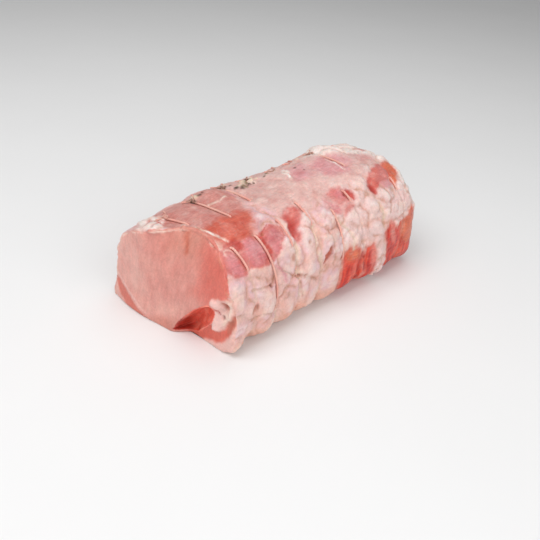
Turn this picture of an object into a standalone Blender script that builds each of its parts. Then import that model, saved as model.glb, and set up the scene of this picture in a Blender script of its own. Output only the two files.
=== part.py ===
"""Boneless pork loin roast, rolled and tied with butcher's twine.

The roast lies on its flattened underside. Its length runs along X, from the cut
face at the near end to the far end. Y runs from its right side to its left side,
and Z is up. The meat is one solid: a loft whose section changes from station to
station, pinched by eight ties and swollen between them. The near end is a slanted
cut face with a deep cleft between the eye of the loin and the rolled flap. Each
tie is a closed ring of twine in its groove, with a knot and two short tails.

Run with: blender --background --python part.py
"""
import bpy
import bmesh
import numpy as np
from math import atan2, copysign, cos, sin, pi, radians
from mathutils import Matrix, Vector, noise

MM = 0.001

# ---- driving dimensions, in millimetres -------------------------------------
ROAST_LENGTH = 203.0

# Sections along the roast: distance from the cut face's foot, right side, left
# side, height, drop of the crown's left half, height of the widest point, and how
# square the left shoulder is.
SECTIONS = (
    (0.0, 4.0, 100.0, 62.0, 3.0, 20.0, 3.0),
    (33.0, 3.0, 104.0, 66.0, 4.0, 22.0, 3.3),
    (73.0, 3.0, 102.0, 69.0, 2.0, 24.0, 3.2),
    (117.0, 0.0, 96.0, 74.0, -1.0, 26.0, 2.5),
    (162.0, -4.0, 97.0, 78.0, -2.0, 26.0, 2.4),
    (193.0, -2.0, 97.0, 73.0, -3.0, 26.0, 2.4),
    (203.0, -1.0, 96.0, 70.0, -3.0, 26.0, 2.4),
)
RIGHT_SQUARENESS = 2.3
FOOT_SQUARENESS = 4.0

# Ties: distance from the cut face's foot, and how far the tie leans forward on
# the left side and back on the right side.
TIES = ((24.0, 7.0), (47.0, 2.0), (70.0, 0.0), (90.0, 1.0),
        (111.0, -1.0), (129.0, 2.0), (149.0, 4.0), (178.0, 0.0))
TIE_WANDER = 0.8
GROOVE_HALF_WIDTH = 0.9
PINCH_TOP = 1.4
PINCH_FOOT = 2.8
SWELL_TOP = 0.6
SWELL_FOOT = 0.9
SETTLED = 1.2
FLOOR_GROOVE = 2.0

TWINE_RADIUS = 0.7
TWINE_GAP = 0.38
KNOT_ANGLE = 116.0
KNOT_HALF = (1.7, 2.3, 1.5)
KNOT_LIFT = 2.7
TAIL_RADIUS = 0.55
TAIL_CLEARANCE = 0.55
TAIL_LENGTHS = ((5.0, 6.5), (7.0, 8.5), (6.0, 8.0), (7.0, 6.0),
                (5.5, 7.0), (6.0, 5.0), (6.0, 8.0), (5.0, 7.5))

# Cut face: how far its top and the rolled flap are set back from its foot.
FACE_TOP_SETBACK = 22.0
FACE_TOP_HEIGHT = 65.0
FACE_RIGHT_SETBACK = 4.0
FLAP_SETBACK = 8.0
FACE_CENTRE = (38.0, 26.0)
RIM_ROUNDING = 1.4

# Cleft: a slot along the line from its foot to its tip, in the cut face. The eye
# of the loin is above it and the rolled flap is below it.
CLEFT_FOOT = (49.0, 0.0)
CLEFT_TIP = (15.0, 40.0)
CLEFT_WIDTH = 13.0
CLEFT_DEPTH = 20.0
CLEFT_TIP_DEPTH = 13.5
CLEFT_FLAP_SLOPE = 0.5
CLEFT_TAPER = 0.45
CLEFT_NARROWING = 0.55
CLEFT_LIP = 1.2
CLEFT_FLOOR_RISE = 3.0
CLEFT_HOLLOW = 2.6
CLEFT_ROUNDNESS = 0.55
CLEFT_SIDES = 26
CLEFT_OUTREACH = 12.0

# Far end: where its rounding starts, and how much narrower it ends.
FAR_ROUNDING_START = 186.0
FAR_NARROWING = 0.22
FAR_DOME = 3.0

# Humps and hollows of the outside: distance along, angle round the section,
# height, reach along, and reach round in degrees.
HUMPS = (
    (15.0, -30.0, 1.8, 9.0, 22.0),
    (4.0, -134.0, 7.5, 16.0, 28.0),
    (10.0, 122.0, -0.4, 9.0, 14.0),
    (36.0, -25.0, 1.0, 6.0, 20.0),
    (62.0, -30.0, 1.0, 7.0, 22.0),
    (60.0, 22.0, -1.4, 9.0, 10.0),
    (61.0, 120.0, 2.2, 9.0, 14.0),
    (98.0, 30.0, 1.6, 9.0, 16.0),
    (95.0, 112.0, -1.2, 10.0, 14.0),
    (116.0, -35.0, 1.8, 8.0, 20.0),
    (123.0, 8.0, 1.4, 8.0, 18.0),
    (132.0, -38.0, -0.9, 6.0, 20.0),
    (140.0, -20.0, 1.2, 8.0, 24.0),
    (118.0, 60.0, -1.5, 6.0, 10.0),
    (158.0, 110.0, 2.4, 9.0, 16.0),
    (170.0, -38.0, -1.0, 8.0, 20.0),
    (188.0, 20.0, 1.2, 8.0, 30.0),
    (199.0, 78.0, 3.4, 8.0, 32.0),
    (198.0, -35.0, 3.0, 9.0, 24.0),
)
ROLL_SIZE = 21.0
ROLL_HEIGHT = 0.9

# ---- mesh fineness ----------------------------------------------------------
AROUND = 52
AROUND_BIAS = 0.35
FINEST_ANGLE = -40.0
SPAN_STEPS = (0.1, 0.37, 0.63, 0.9)
NEAR_STEPS = (0.05, 0.3, 0.6, 0.87)
FAR_STEPS = (0.1, 0.34, 0.58, 0.76, 0.88, 0.96, 1.0)
FACE_STEPS = (0.9, 0.76, 0.6, 0.42, 0.22)
FAR_FACE_STEPS = (0.86, 0.62, 0.34)

# ---- colours ----------------------------------------------------------------
MEAT_COLOUR = (0.80, 0.42, 0.36, 1.0)
TWINE_COLOUR = (0.86, 0.66, 0.56, 1.0)


def smooth_step(value):
    """Rise from 0 to 1 with level ends."""
    value = np.clip(value, 0.0, 1.0)
    return value * value * (3.0 - 2.0 * value)


def section_values(x):
    """Read the section table at x by cubic curves through its rows."""
    table = np.array(SECTIONS)
    runs = table[:, 0]
    x = np.clip(x, runs[0], runs[-1])
    row = np.clip(np.searchsorted(runs, x) - 1, 0, len(runs) - 2)
    gap = runs[row + 1] - runs[row]
    t = (x - runs[row]) / gap
    values = []
    for column in range(1, table.shape[1]):
        heights = table[:, column]
        slopes = np.gradient(heights, runs)
        values.append((2 * t**3 - 3 * t**2 + 1) * heights[row]
                      + (t**3 - 2 * t**2 + t) * gap * slopes[row]
                      + (3 * t**2 - 2 * t**3) * heights[row + 1]
                      + (t**3 - t**2) * gap * slopes[row + 1])
    return values


def angle_samples():
    """Angles round the section, closest together at the lower right side."""
    even = np.linspace(0.0, 2.0 * pi, AROUND, endpoint=False)
    return even - AROUND_BIAS * np.sin(even - radians(FINEST_ANGLE))


def tie_x(number, angle):
    """Where tie `number` crosses the section's angle."""
    middle, lean = TIES[number]
    return middle + lean * np.cos(angle) + TIE_WANDER * np.sin(2.0 * angle + 1.7 * number)


def angle_between(angle, degrees):
    """Signed difference of two angles, in degrees."""
    return (np.degrees(angle) - degrees + 180.0) % 360.0 - 180.0


def relief(x, angle):
    """Height of the outside's humps and of its soft uneven roll."""
    height = np.zeros_like(angle)
    for run, degrees, rise, reach, reach_round in HUMPS:
        far = ((x - run) / reach) ** 2 + (angle_between(angle, degrees) / reach_round) ** 2
        height = height + rise * np.exp(-far)
    rolls = [noise.noise(Vector((run / ROLL_SIZE, 2.6 * cos(turn), 2.6 * sin(turn))))
             for run, turn in zip(x, angle)]
    return height + ROLL_HEIGHT * np.array(rolls)


def skin(x, angle, swell):
    """Y and Z of the outside where the ties leave it swollen by 0 to 1."""
    right, left, height, drop, widest, shoulder = section_values(x)
    across, up = np.cos(angle), np.sin(angle)
    left_half = smooth_step(0.5 - across)
    power = np.where(up > 0.0,
                     RIGHT_SQUARENESS + (shoulder - RIGHT_SQUARENESS) * left_half,
                     FOOT_SQUARENESS)
    reach = (np.abs(across) ** power + np.abs(up) ** power) ** (-1.0 / power)
    u, v = -across * reach, up * reach
    foot_side = smooth_step(0.5 - 0.7 * up)
    pinch = PINCH_TOP + (PINCH_FOOT - PINCH_TOP) * foot_side
    grow = SWELL_TOP + (SWELL_FOOT - SWELL_TOP) * foot_side + relief(x, angle)
    offset = grow * swell - pinch * (1.0 - swell)
    y = 0.5 * (left + right) + (0.5 * (left - right) + offset) * u
    top = widest + v * (height - widest + offset) - drop * u * v
    z = np.where(v > 0.0, top, widest + v * (widest + offset + SETTLED))
    late = np.clip((x - FAR_ROUNDING_START) / (ROAST_LENGTH - FAR_ROUNDING_START), 0.0, 1.0)
    shrink = 1.0 - FAR_NARROWING * late**2.5
    middle = 0.5 * (left + right)
    return middle + (y - middle) * shrink, widest + (z - widest) * shrink


def cleft_place(y, z):
    """Distance along the cleft from its foot, and across it towards the flap."""
    run = np.array(CLEFT_TIP) - np.array(CLEFT_FOOT)
    length = np.hypot(*run)
    along = ((y - CLEFT_FOOT[0]) * run[0] + (z - CLEFT_FOOT[1]) * run[1]) / length
    across = -((y - CLEFT_FOOT[0]) * run[1] - (z - CLEFT_FOOT[1]) * run[0]) / length
    return along / length, across


def face_x(y, z):
    """The cut face without its cleft: slanted back at its top and at the flap."""
    rise = np.clip(z / FACE_TOP_HEIGHT, 0.0, 1.0) ** 2.6
    across = cleft_place(y, z)[1]
    low = FACE_RIGHT_SETBACK * smooth_step((75.0 - y) / 60.0)
    low = low + FLAP_SETBACK * smooth_step((across - 1.0) / 8.0)
    return low * (1.0 - rise) + FACE_TOP_SETBACK * rise * smooth_step((78.0 - y) / 30.0)


def groove_x(number, angle, side):
    """Edge of tie `number`'s groove: side -1 is its near edge, +1 its far edge."""
    return tie_x(number, angle) + side * GROOVE_HALF_WIDTH


def span_ends(span, angle):
    """X at both ends of the span between two ties, or between a tie and an end."""
    if span == 0:
        y, z = skin(np.zeros_like(angle), angle, np.ones_like(angle))
        start = face_x(y, np.maximum(z, 0.0))
    else:
        start = groove_x(span - 1, angle, 1)
    if span == len(TIES):
        end = np.full_like(angle, ROAST_LENGTH)
    else:
        end = groove_x(span, angle, -1)
    return start, end


def span_point(span, fraction, angle):
    """A point of the outside, a fraction of the way along a span."""
    start, end = span_ends(span, angle)
    x = start + (end - start) * fraction
    if span == 0:
        swell = np.sqrt(1.0 - fraction**2)
    elif span == len(TIES):
        swell = np.sqrt(1.0 - (1.0 - min(fraction / 0.5, 1.0)) ** 2)
    else:
        swell = np.sqrt(1.0 - (2.0 * fraction - 1.0) ** 2)
    y, z = skin(x, angle, np.full_like(angle, swell))
    in_groove = fraction in (0.0, 1.0) and not (span == 0 and fraction == 0.0)
    in_groove = in_groove and not (span == len(TIES) and fraction == 1.0)
    return np.stack([x, y, np.maximum(z, FLOOR_GROOVE if in_groove else 0.0)], axis=1)


def rings_along(angle):
    """Every ring of the outside, from the near end to the far end."""
    rings = [span_point(0, step, angle) for step in NEAR_STEPS]
    for span in range(1, len(TIES)):
        rings.append(span_point(span - 1, 1.0, angle))
        rings.append(span_point(span, 0.0, angle))
        rings.extend(span_point(span, step, angle) for step in SPAN_STEPS)
    rings.append(span_point(len(TIES) - 1, 1.0, angle))
    rings.append(span_point(len(TIES), 0.0, angle))
    rings.extend(span_point(len(TIES), step, angle) for step in FAR_STEPS)
    return rings


def near_face_rings(rim):
    """Rings of the cut face, from just inside its rim to near its centre."""
    centre = np.array(FACE_CENTRE)
    rings = []
    for step in (1.0 - RIM_ROUNDING / 40.0,) + FACE_STEPS:
        flat = centre + (rim[:, 1:] - centre) * step
        flat[:, 1] = np.maximum(flat[:, 1], RIM_ROUNDING * (1.0 - step) * 0.5)
        y, z = flat[:, 0], flat[:, 1]
        rounding = 0.5 if step > FACE_STEPS[0] else 0.0
        rings.append(np.stack([face_x(y, z) + rounding, y, z], axis=1))
    middle = np.array([[face_x(*centre), *centre]])
    return rings, middle


def far_face_rings(rim):
    """Rings of the far end's gently domed face."""
    centre = rim[:, 1:].mean(axis=0)
    rings = []
    for step in FAR_FACE_STEPS:
        flat = centre + (rim[:, 1:] - centre) * step
        x = rim[:, :1] + FAR_DOME * (1.0 - step**2)
        rings.append(np.hstack([x, flat]))
    return rings, np.array([[ROAST_LENGTH + FAR_DOME, *centre]])


def face_outwards(mesh):
    """Turn a closed mesh's faces outwards."""
    bmesh.ops.recalc_face_normals(mesh, faces=mesh.faces[:])
    if mesh.calc_volume(signed=True) < 0.0:
        bmesh.ops.reverse_faces(mesh, faces=mesh.faces[:])


def loft(name, start_point, rings, end_point):
    """A closed mesh object through rings of equal count, with a point at each end."""
    mesh = bmesh.new()
    loops = [[mesh.verts.new(Vector(point) * MM) for point in ring] for ring in rings]
    first = mesh.verts.new(Vector(start_point[0]) * MM)
    last = mesh.verts.new(Vector(end_point[0]) * MM)
    for loop, following in zip(loops, loops[1:]):
        for i in range(AROUND):
            j = (i + 1) % AROUND
            mesh.faces.new((loop[i], loop[j], following[j], following[i]))
    for i in range(AROUND):
        j = (i + 1) % AROUND
        mesh.faces.new((loops[0][j], loops[0][i], first))
        mesh.faces.new((loops[-1][i], loops[-1][j], last))
    bmesh.ops.triangulate(mesh, faces=mesh.faces[:])
    face_outwards(mesh)
    data = bpy.data.meshes.new(name)
    mesh.to_mesh(data)
    mesh.free()
    data.shade_smooth()
    data.set_sharp_from_angle(angle=radians(50.0))
    return bpy.data.objects.new(name, data)


def cleft_cutter(collection):
    """The hollow of the cleft: a wedge that narrows and rises as it goes in."""
    mesh = bmesh.new()
    bmesh.ops.create_cone(mesh, cap_ends=True, segments=CLEFT_SIDES,
                          radius1=1.0, radius2=1.0, depth=1.0)
    foot, tip = np.array(CLEFT_FOOT), np.array(CLEFT_TIP)
    run = tip - foot
    length = np.hypot(*run)
    towards_flap = np.array((-run[1], run[0])) / length
    for vert in mesh.verts:
        inner = vert.co.z > 0.0
        shrink = CLEFT_NARROWING if inner else 1.0
        turn = atan2(vert.co.y, vert.co.x)
        c, s = [copysign(abs(part) ** CLEFT_ROUNDNESS, part) for part in (cos(turn), sin(turn))]
        along = 0.46 + 0.56 * shrink * c
        width = CLEFT_WIDTH * min(1.0, max(0.05, (1.05 - along) / CLEFT_TAPER))
        across = width * (0.5 + 0.5 * shrink * s)
        across -= CLEFT_HOLLOW * max(0.0, -s) * sin(pi * min(max(along, 0.0), 1.0))
        y, z = foot + run * along + towards_flap * across
        depth = CLEFT_DEPTH + (CLEFT_TIP_DEPTH - CLEFT_DEPTH) * along - CLEFT_FLAP_SLOPE * across
        floor = CLEFT_LIP + (CLEFT_FLOOR_RISE if inner else 0.0)
        vert.co = Vector((depth if inner else -CLEFT_OUTREACH, y, max(z, floor))) * MM
    face_outwards(mesh)
    data = bpy.data.meshes.new("cleft_cutter")
    mesh.to_mesh(data)
    mesh.free()
    cutter = bpy.data.objects.new("cleft_cutter", data)
    cutter.hide_render = True
    cutter.display_type = 'WIRE'
    collection.objects.link(cutter)
    return cutter


def build_loin(collection, cutter, material):
    """The rolled loin with its cut face, cleft, grooves and flat underside."""
    angle = angle_samples()
    outside = rings_along(angle)
    near, near_middle = near_face_rings(outside[0])
    far, far_middle = far_face_rings(outside[-1])
    loin = loft("loin", near_middle, near[::-1] + outside + far, far_middle)
    loin.data.materials.append(material)
    collection.objects.link(loin)
    cut = loin.modifiers.new("Open the cleft", 'BOOLEAN')
    cut.operation = 'DIFFERENCE'
    cut.object = cutter
    cut.solver = 'EXACT'
    return loin


def twine_path(number, angle):
    """Centre line of a tie: its groove's floor, moved out by the twine and its gap."""
    near = span_point(number, 1.0, angle)
    far = span_point(number + 1, 0.0, angle)
    floor = 0.5 * (near + far)
    run = np.roll(floor, -1, axis=0) - np.roll(floor, 1, axis=0)
    outward = np.stack([np.zeros(len(run)), -run[:, 2], run[:, 1]], axis=1)
    outward /= np.linalg.norm(outward, axis=1)[:, None]
    inward = ((floor - floor.mean(axis=0)) * outward).sum(axis=1) < 0.0
    outward[inward] *= -1.0
    return floor + outward * (TWINE_RADIUS + TWINE_GAP), outward


def tube_object(name, points, radius, closed):
    """A mesh tube round a path: a ring where it is closed, else capped at both ends."""
    curve = bpy.data.curves.new(name, 'CURVE')
    curve.dimensions = '3D'
    curve.bevel_depth = radius * MM
    curve.bevel_resolution = 1
    curve.use_fill_caps = True
    spline = curve.splines.new('POLY')
    spline.points.add(len(points) - 1)
    for target, point in zip(spline.points, points):
        target.co = (*(Vector(point) * MM), 1.0)
    spline.use_cyclic_u = closed
    guide = bpy.data.objects.new(name + "_guide", curve)
    bpy.context.scene.collection.objects.link(guide)
    evaluated = guide.evaluated_get(bpy.context.evaluated_depsgraph_get())
    data = bpy.data.meshes.new_from_object(evaluated)
    data.name = name
    tube = bpy.data.objects.new(name, data)
    tube.matrix_world = guide.matrix_world
    bpy.data.objects.remove(guide)
    mesh = bmesh.new()
    mesh.from_mesh(data)
    bmesh.ops.remove_doubles(mesh, verts=mesh.verts[:], dist=0.00001)
    face_outwards(mesh)
    mesh.to_mesh(data)
    mesh.free()
    return tube


def knot_object(name, place, outward):
    """The knot's small rounded lump, flat against the roast."""
    mesh = bmesh.new()
    along = Vector((1.0, 0.0, 0.0))
    up = Vector(outward)
    round_way = up.cross(along)
    turn = Matrix((along, round_way, up)).transposed().to_4x4()
    size = Matrix.Diagonal((*[half * MM for half in KNOT_HALF], 1.0))
    placed = Matrix.Translation(Vector(place) * MM) @ turn @ size
    bmesh.ops.create_uvsphere(mesh, u_segments=8, v_segments=5, radius=1.0, matrix=placed)
    data = bpy.data.meshes.new(name)
    mesh.to_mesh(data)
    mesh.free()
    return bpy.data.objects.new(name, data)


def tail_points(number, side, length):
    """A cut end of twine, from the knot out over the swollen meat beside it."""
    angle = radians(KNOT_ANGLE)
    span = number + 1 if side > 0 else number
    turn = np.full(1, angle)
    start, end = span_ends(span, turn)
    points = []
    for step in (0.2, 0.45, 0.72, 1.0):
        distance = length * step
        bend = angle + side * 0.05 * step + 0.10 * step**2
        fraction = distance / float((end - start)[0])
        fraction = min(fraction, 0.95) if side > 0 else max(1.0 - fraction, 0.05)
        place = span_point(span, fraction, np.full(1, bend))[0]
        out = np.array([0.0, -cos(bend), sin(bend)])
        points.append(place + out * (TAIL_RADIUS + TAIL_CLEARANCE + 0.5 * sin(pi * step)))
    return points


def build_twine(collection, material, number):
    """One tie: ring, knot and two tails, joined into one closed solid."""
    angle = angle_samples()
    path, outward = twine_path(number, angle)
    at = int(np.argmin(np.abs(angle_between(angle, KNOT_ANGLE))))
    place = path[at] + outward[at] * (KNOT_LIFT - TWINE_RADIUS - TWINE_GAP)
    name = f"twine_{number + 1}"
    ring = tube_object(name, path, TWINE_RADIUS, True)
    pieces = [knot_object(name + "_knot", place, outward[at])]
    for side, length in zip((-1, 1), TAIL_LENGTHS[number]):
        points = [place] + tail_points(number, side, length)
        pieces.append(tube_object(f"{name}_tail_{side}", points, TAIL_RADIUS, False))
    joined = bpy.data.collections.new(name + "_pieces")
    bpy.context.scene.collection.children.link(joined)
    for piece in pieces:
        joined.objects.link(piece)
    collection.objects.link(ring)
    union = ring.modifiers.new("Join knot and tails", 'BOOLEAN')
    union.operation = 'UNION'
    union.operand_type = 'COLLECTION'
    union.collection = joined
    union.solver = 'EXACT'
    evaluated = ring.evaluated_get(bpy.context.evaluated_depsgraph_get())
    data = bpy.data.meshes.new_from_object(evaluated)
    ring.modifiers.clear()
    ring.data = data
    data.name = name
    for piece in pieces:
        bpy.data.objects.remove(piece)
    bpy.data.collections.remove(joined)
    data.materials.clear()
    data.materials.append(material)
    data.shade_smooth()
    return ring


def make_material(name, colour, roughness):
    """A plain Principled material."""
    material = bpy.data.materials.new(name)
    material.use_nodes = True
    shader = material.node_tree.nodes["Principled BSDF"]
    shader.inputs["Base Color"].default_value = colour
    shader.inputs["Roughness"].default_value = roughness
    shader.inputs["Metallic"].default_value = 0.0
    material.diffuse_color = colour
    return material


def stand_on_origin(objects, cutter):
    """Move every mesh so that the whole stands centred on the origin."""
    corners = np.array([vertex.co[:] for item in objects for vertex in item.data.vertices])
    low, high = corners.min(axis=0), corners.max(axis=0)
    shift = Vector((-0.5 * (low[0] + high[0]), -0.5 * (low[1] + high[1]), -low[2]))
    for item in objects + [cutter]:
        item.data.transform(Matrix.Translation(shift))
        item.data.update()
    print("size in mm", np.round((high - low) / MM, 2), "shift in mm", np.round(np.array(shift) / MM, 3))


def main():
    for item in list(bpy.data.objects):
        bpy.data.objects.remove(item)
    collection = bpy.data.collections.new("Pork loin roast")
    bpy.context.scene.collection.children.link(collection)
    cutters = bpy.data.collections.new("Cutters")
    bpy.context.scene.collection.children.link(cutters)
    cutter = cleft_cutter(cutters)
    meat = make_material("Raw pork", MEAT_COLOUR, 0.38)
    loin = build_loin(collection, cutter, meat)
    ties = []
    for number in range(len(TIES)):
        twine = make_material(f"Twine {number + 1}", TWINE_COLOUR, 0.7)
        ties.append(build_twine(collection, twine, number))
    stand_on_origin([loin] + ties, cutter)


main()
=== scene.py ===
# %% [markdown]
# # A raw pork loin roast, rolled and tied
#
# The real roast is one long pale muscle, the eye of the loin, with a flap of belly and
# its fat rolled round it. A butcher ties it with thin twine, and the soft meat swells
# between the ties. This lesson makes its surface in three steps: a fine mesh that
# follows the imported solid, a painting of its tissues on that mesh, and twisted twine.
# Every size is in millimetres along the roast (x), across it (y) and up (z), and is
# turned into the model's metres only when a mesh is made.

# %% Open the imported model
from math import cos, pi, radians, sin

import bmesh
import bpy
import numpy as np
from mathutils import Matrix, Vector, geometry, noise


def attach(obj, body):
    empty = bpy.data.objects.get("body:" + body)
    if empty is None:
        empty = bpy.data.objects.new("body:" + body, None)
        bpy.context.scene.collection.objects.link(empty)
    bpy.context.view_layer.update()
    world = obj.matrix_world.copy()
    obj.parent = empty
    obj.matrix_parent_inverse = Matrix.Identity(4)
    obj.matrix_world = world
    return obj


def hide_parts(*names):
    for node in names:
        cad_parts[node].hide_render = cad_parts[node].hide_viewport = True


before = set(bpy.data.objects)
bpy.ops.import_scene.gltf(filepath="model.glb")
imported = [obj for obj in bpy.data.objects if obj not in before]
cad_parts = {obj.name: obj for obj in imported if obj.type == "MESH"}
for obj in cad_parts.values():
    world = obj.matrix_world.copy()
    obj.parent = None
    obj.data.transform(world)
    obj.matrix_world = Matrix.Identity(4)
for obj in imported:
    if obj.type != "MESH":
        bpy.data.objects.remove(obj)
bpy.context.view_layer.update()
MM = 0.001
ROW_SHIFT = np.array((-103.0, -50.303, 0.0))
print("packed nodes:", sorted(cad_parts))

# %% [markdown]
# ## Camera
#
# The camera looks down on the cut face and the right side, from close by. A heading, a
# pitch and a small roll say how it points, which is easier to read than a matrix.

# %% Camera
CAMERA_PLACE = np.array((-195.0, -197.5, 250.0))
CAMERA_HEADING = 40.588
CAMERA_PITCH = -32.63
CAMERA_ROLL = 5.743
LENS = 42.02


def to_row(places):
    """Turn roast millimetres into the model's metres."""
    return (np.asarray(places, float) + ROW_SHIFT) * MM


turn = (Matrix.Rotation(radians(CAMERA_HEADING - 90.0), 4, 'Z')
        @ Matrix.Rotation(radians(90.0 + CAMERA_PITCH), 4, 'X')
        @ Matrix.Rotation(radians(CAMERA_ROLL), 4, 'Z'))
lens = bpy.data.cameras.new("Camera")
lens.lens = LENS
lens.clip_start = 0.01
camera = bpy.data.objects.new("Camera", lens)
camera.matrix_world = Matrix.Translation(Vector(to_row(CAMERA_PLACE))) @ turn
bpy.context.scene.collection.objects.link(camera)
bpy.context.scene.camera = camera
print("camera looks along", [round(part, 4) for part in turn @ Vector((0.0, 0.0, -1.0, 0.0))][:3])

# %% [markdown]
# ## The form of the roast
#
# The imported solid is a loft: its section changes along the roast, the ties pinch it and
# it swells between them. The same named sections are used here, so that the fine skin
# lies on the solid. Working from the rule and not from the solid's own facets lets the
# skin be as smooth as real meat.

# %% Sections and ties
ROAST_LENGTH = 203.0
# distance, right side, left side, height, drop of the left half, widest, squareness
SECTIONS = (
    (0.0, 4.0, 100.0, 62.0, 3.0, 20.0, 3.0),
    (33.0, 3.0, 104.0, 66.0, 4.0, 22.0, 3.3),
    (73.0, 3.0, 102.0, 69.0, 2.0, 24.0, 3.2),
    (117.0, 0.0, 96.0, 74.0, -1.0, 26.0, 2.5),
    (162.0, -4.0, 97.0, 78.0, -2.0, 26.0, 2.4),
    (193.0, -2.0, 97.0, 73.0, -3.0, 26.0, 2.4),
    (203.0, -1.0, 96.0, 70.0, -3.0, 26.0, 2.4),
)
RIGHT_SQUARENESS = 2.3
FOOT_SQUARENESS = 4.0
TIES = ((24.0, 7.0), (47.0, 2.0), (70.0, 0.0), (90.0, 1.0),
        (111.0, -1.0), (129.0, 2.0), (149.0, 4.0), (178.0, 0.0))
TIE_WANDER = 0.8
GROOVE_HALF_WIDTH = 0.9
PINCH_TOP = 1.1
PINCH_FOOT = 2.8
SWELL_TOP = 0.6
SWELL_FOOT = 0.9
SETTLED = 1.2
FAR_ROUNDING_START = 186.0
FAR_NARROWING = 0.22
FAR_ROUNDING_POWER = 2.5
FAR_DOME = 3.0


def smooth_step(value):
    """Rise from 0 to 1 with level ends."""
    value = np.clip(value, 0.0, 1.0)
    return value * value * (3.0 - 2.0 * value)


def unit(vectors):
    """Vectors made one long."""
    return vectors / np.linalg.norm(vectors, axis=-1, keepdims=True)


def section_values(x):
    """Read the section table at x by cubic curves through its rows."""
    table = np.array(SECTIONS)
    runs = table[:, 0]
    x = np.clip(x, runs[0], runs[-1])
    row = np.clip(np.searchsorted(runs, x) - 1, 0, len(runs) - 2)
    gap = runs[row + 1] - runs[row]
    t = (x - runs[row]) / gap
    values = []
    for heights in table.T[1:]:
        slopes = np.gradient(heights, runs)
        values.append((2 * t**3 - 3 * t**2 + 1) * heights[row]
                      + (t**3 - 2 * t**2 + t) * gap * slopes[row]
                      + (3 * t**2 - 2 * t**3) * heights[row + 1]
                      + (t**3 - t**2) * gap * slopes[row + 1])
    return values


def tie_x(number, angle):
    """Where tie `number` crosses the section's angle."""
    middle, lean = TIES[number]
    return middle + lean * np.cos(angle) + TIE_WANDER * np.sin(2.0 * angle + 1.7 * number)


def angle_between(angle, degrees):
    """Signed difference of two angles, in degrees."""
    return (np.degrees(angle) - degrees + 180.0) % 360.0 - 180.0


# %% [markdown]
# Soft noise gives meat its unevenness. Blender's own noise works on one point at a
# time, so one small function runs it over a whole list of points, and is used for
# humps, folds and colours alike.

# %% Noise over many points
def soft_noise(places, size, seed=0.0):
    """Noise from -1 to 1 at each place, with lumps of about `size` millimetres."""
    shift = Vector((seed * 17.3, seed * 5.1, seed * 11.7))
    return np.array([noise.noise(Vector(place) / size + shift) for place in places])


def pillows(places, size, seed=0.0):
    """Puffy lumps from 0 to 1 with sharp creases between them."""
    return np.minimum(np.abs(soft_noise(places, size, seed)) * 2.6, 1.0)


# %% Humps and the outline of a section
# distance along, angle round the section, height, reach along, reach round in degrees
HUMPS = (
    (15.0, -30.0, 1.8, 9.0, 22.0),
    (4.0, -134.0, 7.5, 16.0, 28.0),
    (10.0, 122.0, -0.4, 9.0, 14.0),
    (36.0, -25.0, 1.0, 6.0, 20.0),
    (62.0, -30.0, 1.0, 7.0, 22.0),
    (60.0, 22.0, -1.4, 9.0, 10.0),
    (61.0, 120.0, 2.2, 9.0, 14.0),
    (98.0, 30.0, 1.6, 9.0, 16.0),
    (95.0, 112.0, -1.2, 10.0, 14.0),
    (116.0, -35.0, 1.8, 8.0, 20.0),
    (123.0, 8.0, 1.4, 8.0, 18.0),
    (132.0, -38.0, -0.9, 6.0, 20.0),
    (140.0, -20.0, 1.2, 8.0, 24.0),
    (118.0, 60.0, -1.5, 6.0, 10.0),
    (158.0, 110.0, 2.4, 9.0, 16.0),
    (170.0, -38.0, -1.0, 8.0, 20.0),
    (188.0, 20.0, 1.2, 8.0, 30.0),
    (199.0, 78.0, 3.4, 8.0, 32.0),
    (198.0, -35.0, 3.0, 9.0, 24.0),
)
ROLL_SIZE = 21.0
ROLL_HEIGHT = 0.9
ROLLS_ROUND = 2.6       # how many rolls fit into the section's radius


def relief(x, angle):
    """Height of the outside's humps and of its soft uneven roll."""
    height = np.zeros_like(angle)
    for run, degrees, rise, reach, reach_round in HUMPS:
        far = ((x - run) / reach) ** 2 + (angle_between(angle, degrees) / reach_round) ** 2
        height = height + rise * np.exp(-far)
    places = np.stack([x / ROLL_SIZE, ROLLS_ROUND * np.cos(angle), ROLLS_ROUND * np.sin(angle)],
                      axis=-1)
    rolls = soft_noise(places.reshape(-1, 3), 1.0).reshape(angle.shape)
    return height + ROLL_HEIGHT * rolls


def skin(x, angle, swell):
    """Y and Z of the outside where the ties leave it swollen by 0 to 1."""
    right, left, height, drop, widest, shoulder = section_values(x)
    across, up = np.cos(angle), np.sin(angle)
    left_half = smooth_step(0.5 - across)
    power = np.where(up > 0.0,
                     RIGHT_SQUARENESS + (shoulder - RIGHT_SQUARENESS) * left_half,
                     FOOT_SQUARENESS)
    reach = (np.abs(across) ** power + np.abs(up) ** power) ** (-1.0 / power)
    u, v = -across * reach, up * reach
    foot_side = smooth_step(0.5 - 0.7 * up)
    pinch = PINCH_TOP + (PINCH_FOOT - PINCH_TOP) * foot_side
    grow = SWELL_TOP + (SWELL_FOOT - SWELL_TOP) * foot_side + relief(x, angle)
    offset = grow * swell - pinch * (1.0 - swell)
    y = 0.5 * (left + right) + (0.5 * (left - right) + offset) * u
    top = widest + v * (height - widest + offset) - drop * u * v
    z = np.where(v > 0.0, top, widest + v * (widest + offset + SETTLED))
    late = np.clip((x - FAR_ROUNDING_START) / (ROAST_LENGTH - FAR_ROUNDING_START), 0.0, 1.0)
    shrink = 1.0 - FAR_NARROWING * late**FAR_ROUNDING_POWER
    middle = 0.5 * (left + right)
    return middle + (y - middle) * shrink, widest + (z - widest) * shrink


# %% [markdown]
# The near end is a slanted cut. Its face is set back at the top and at the rolled
# flap. Between the eye of the loin and the flap is a cleft, a pocket that narrows as
# it goes in.

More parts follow.
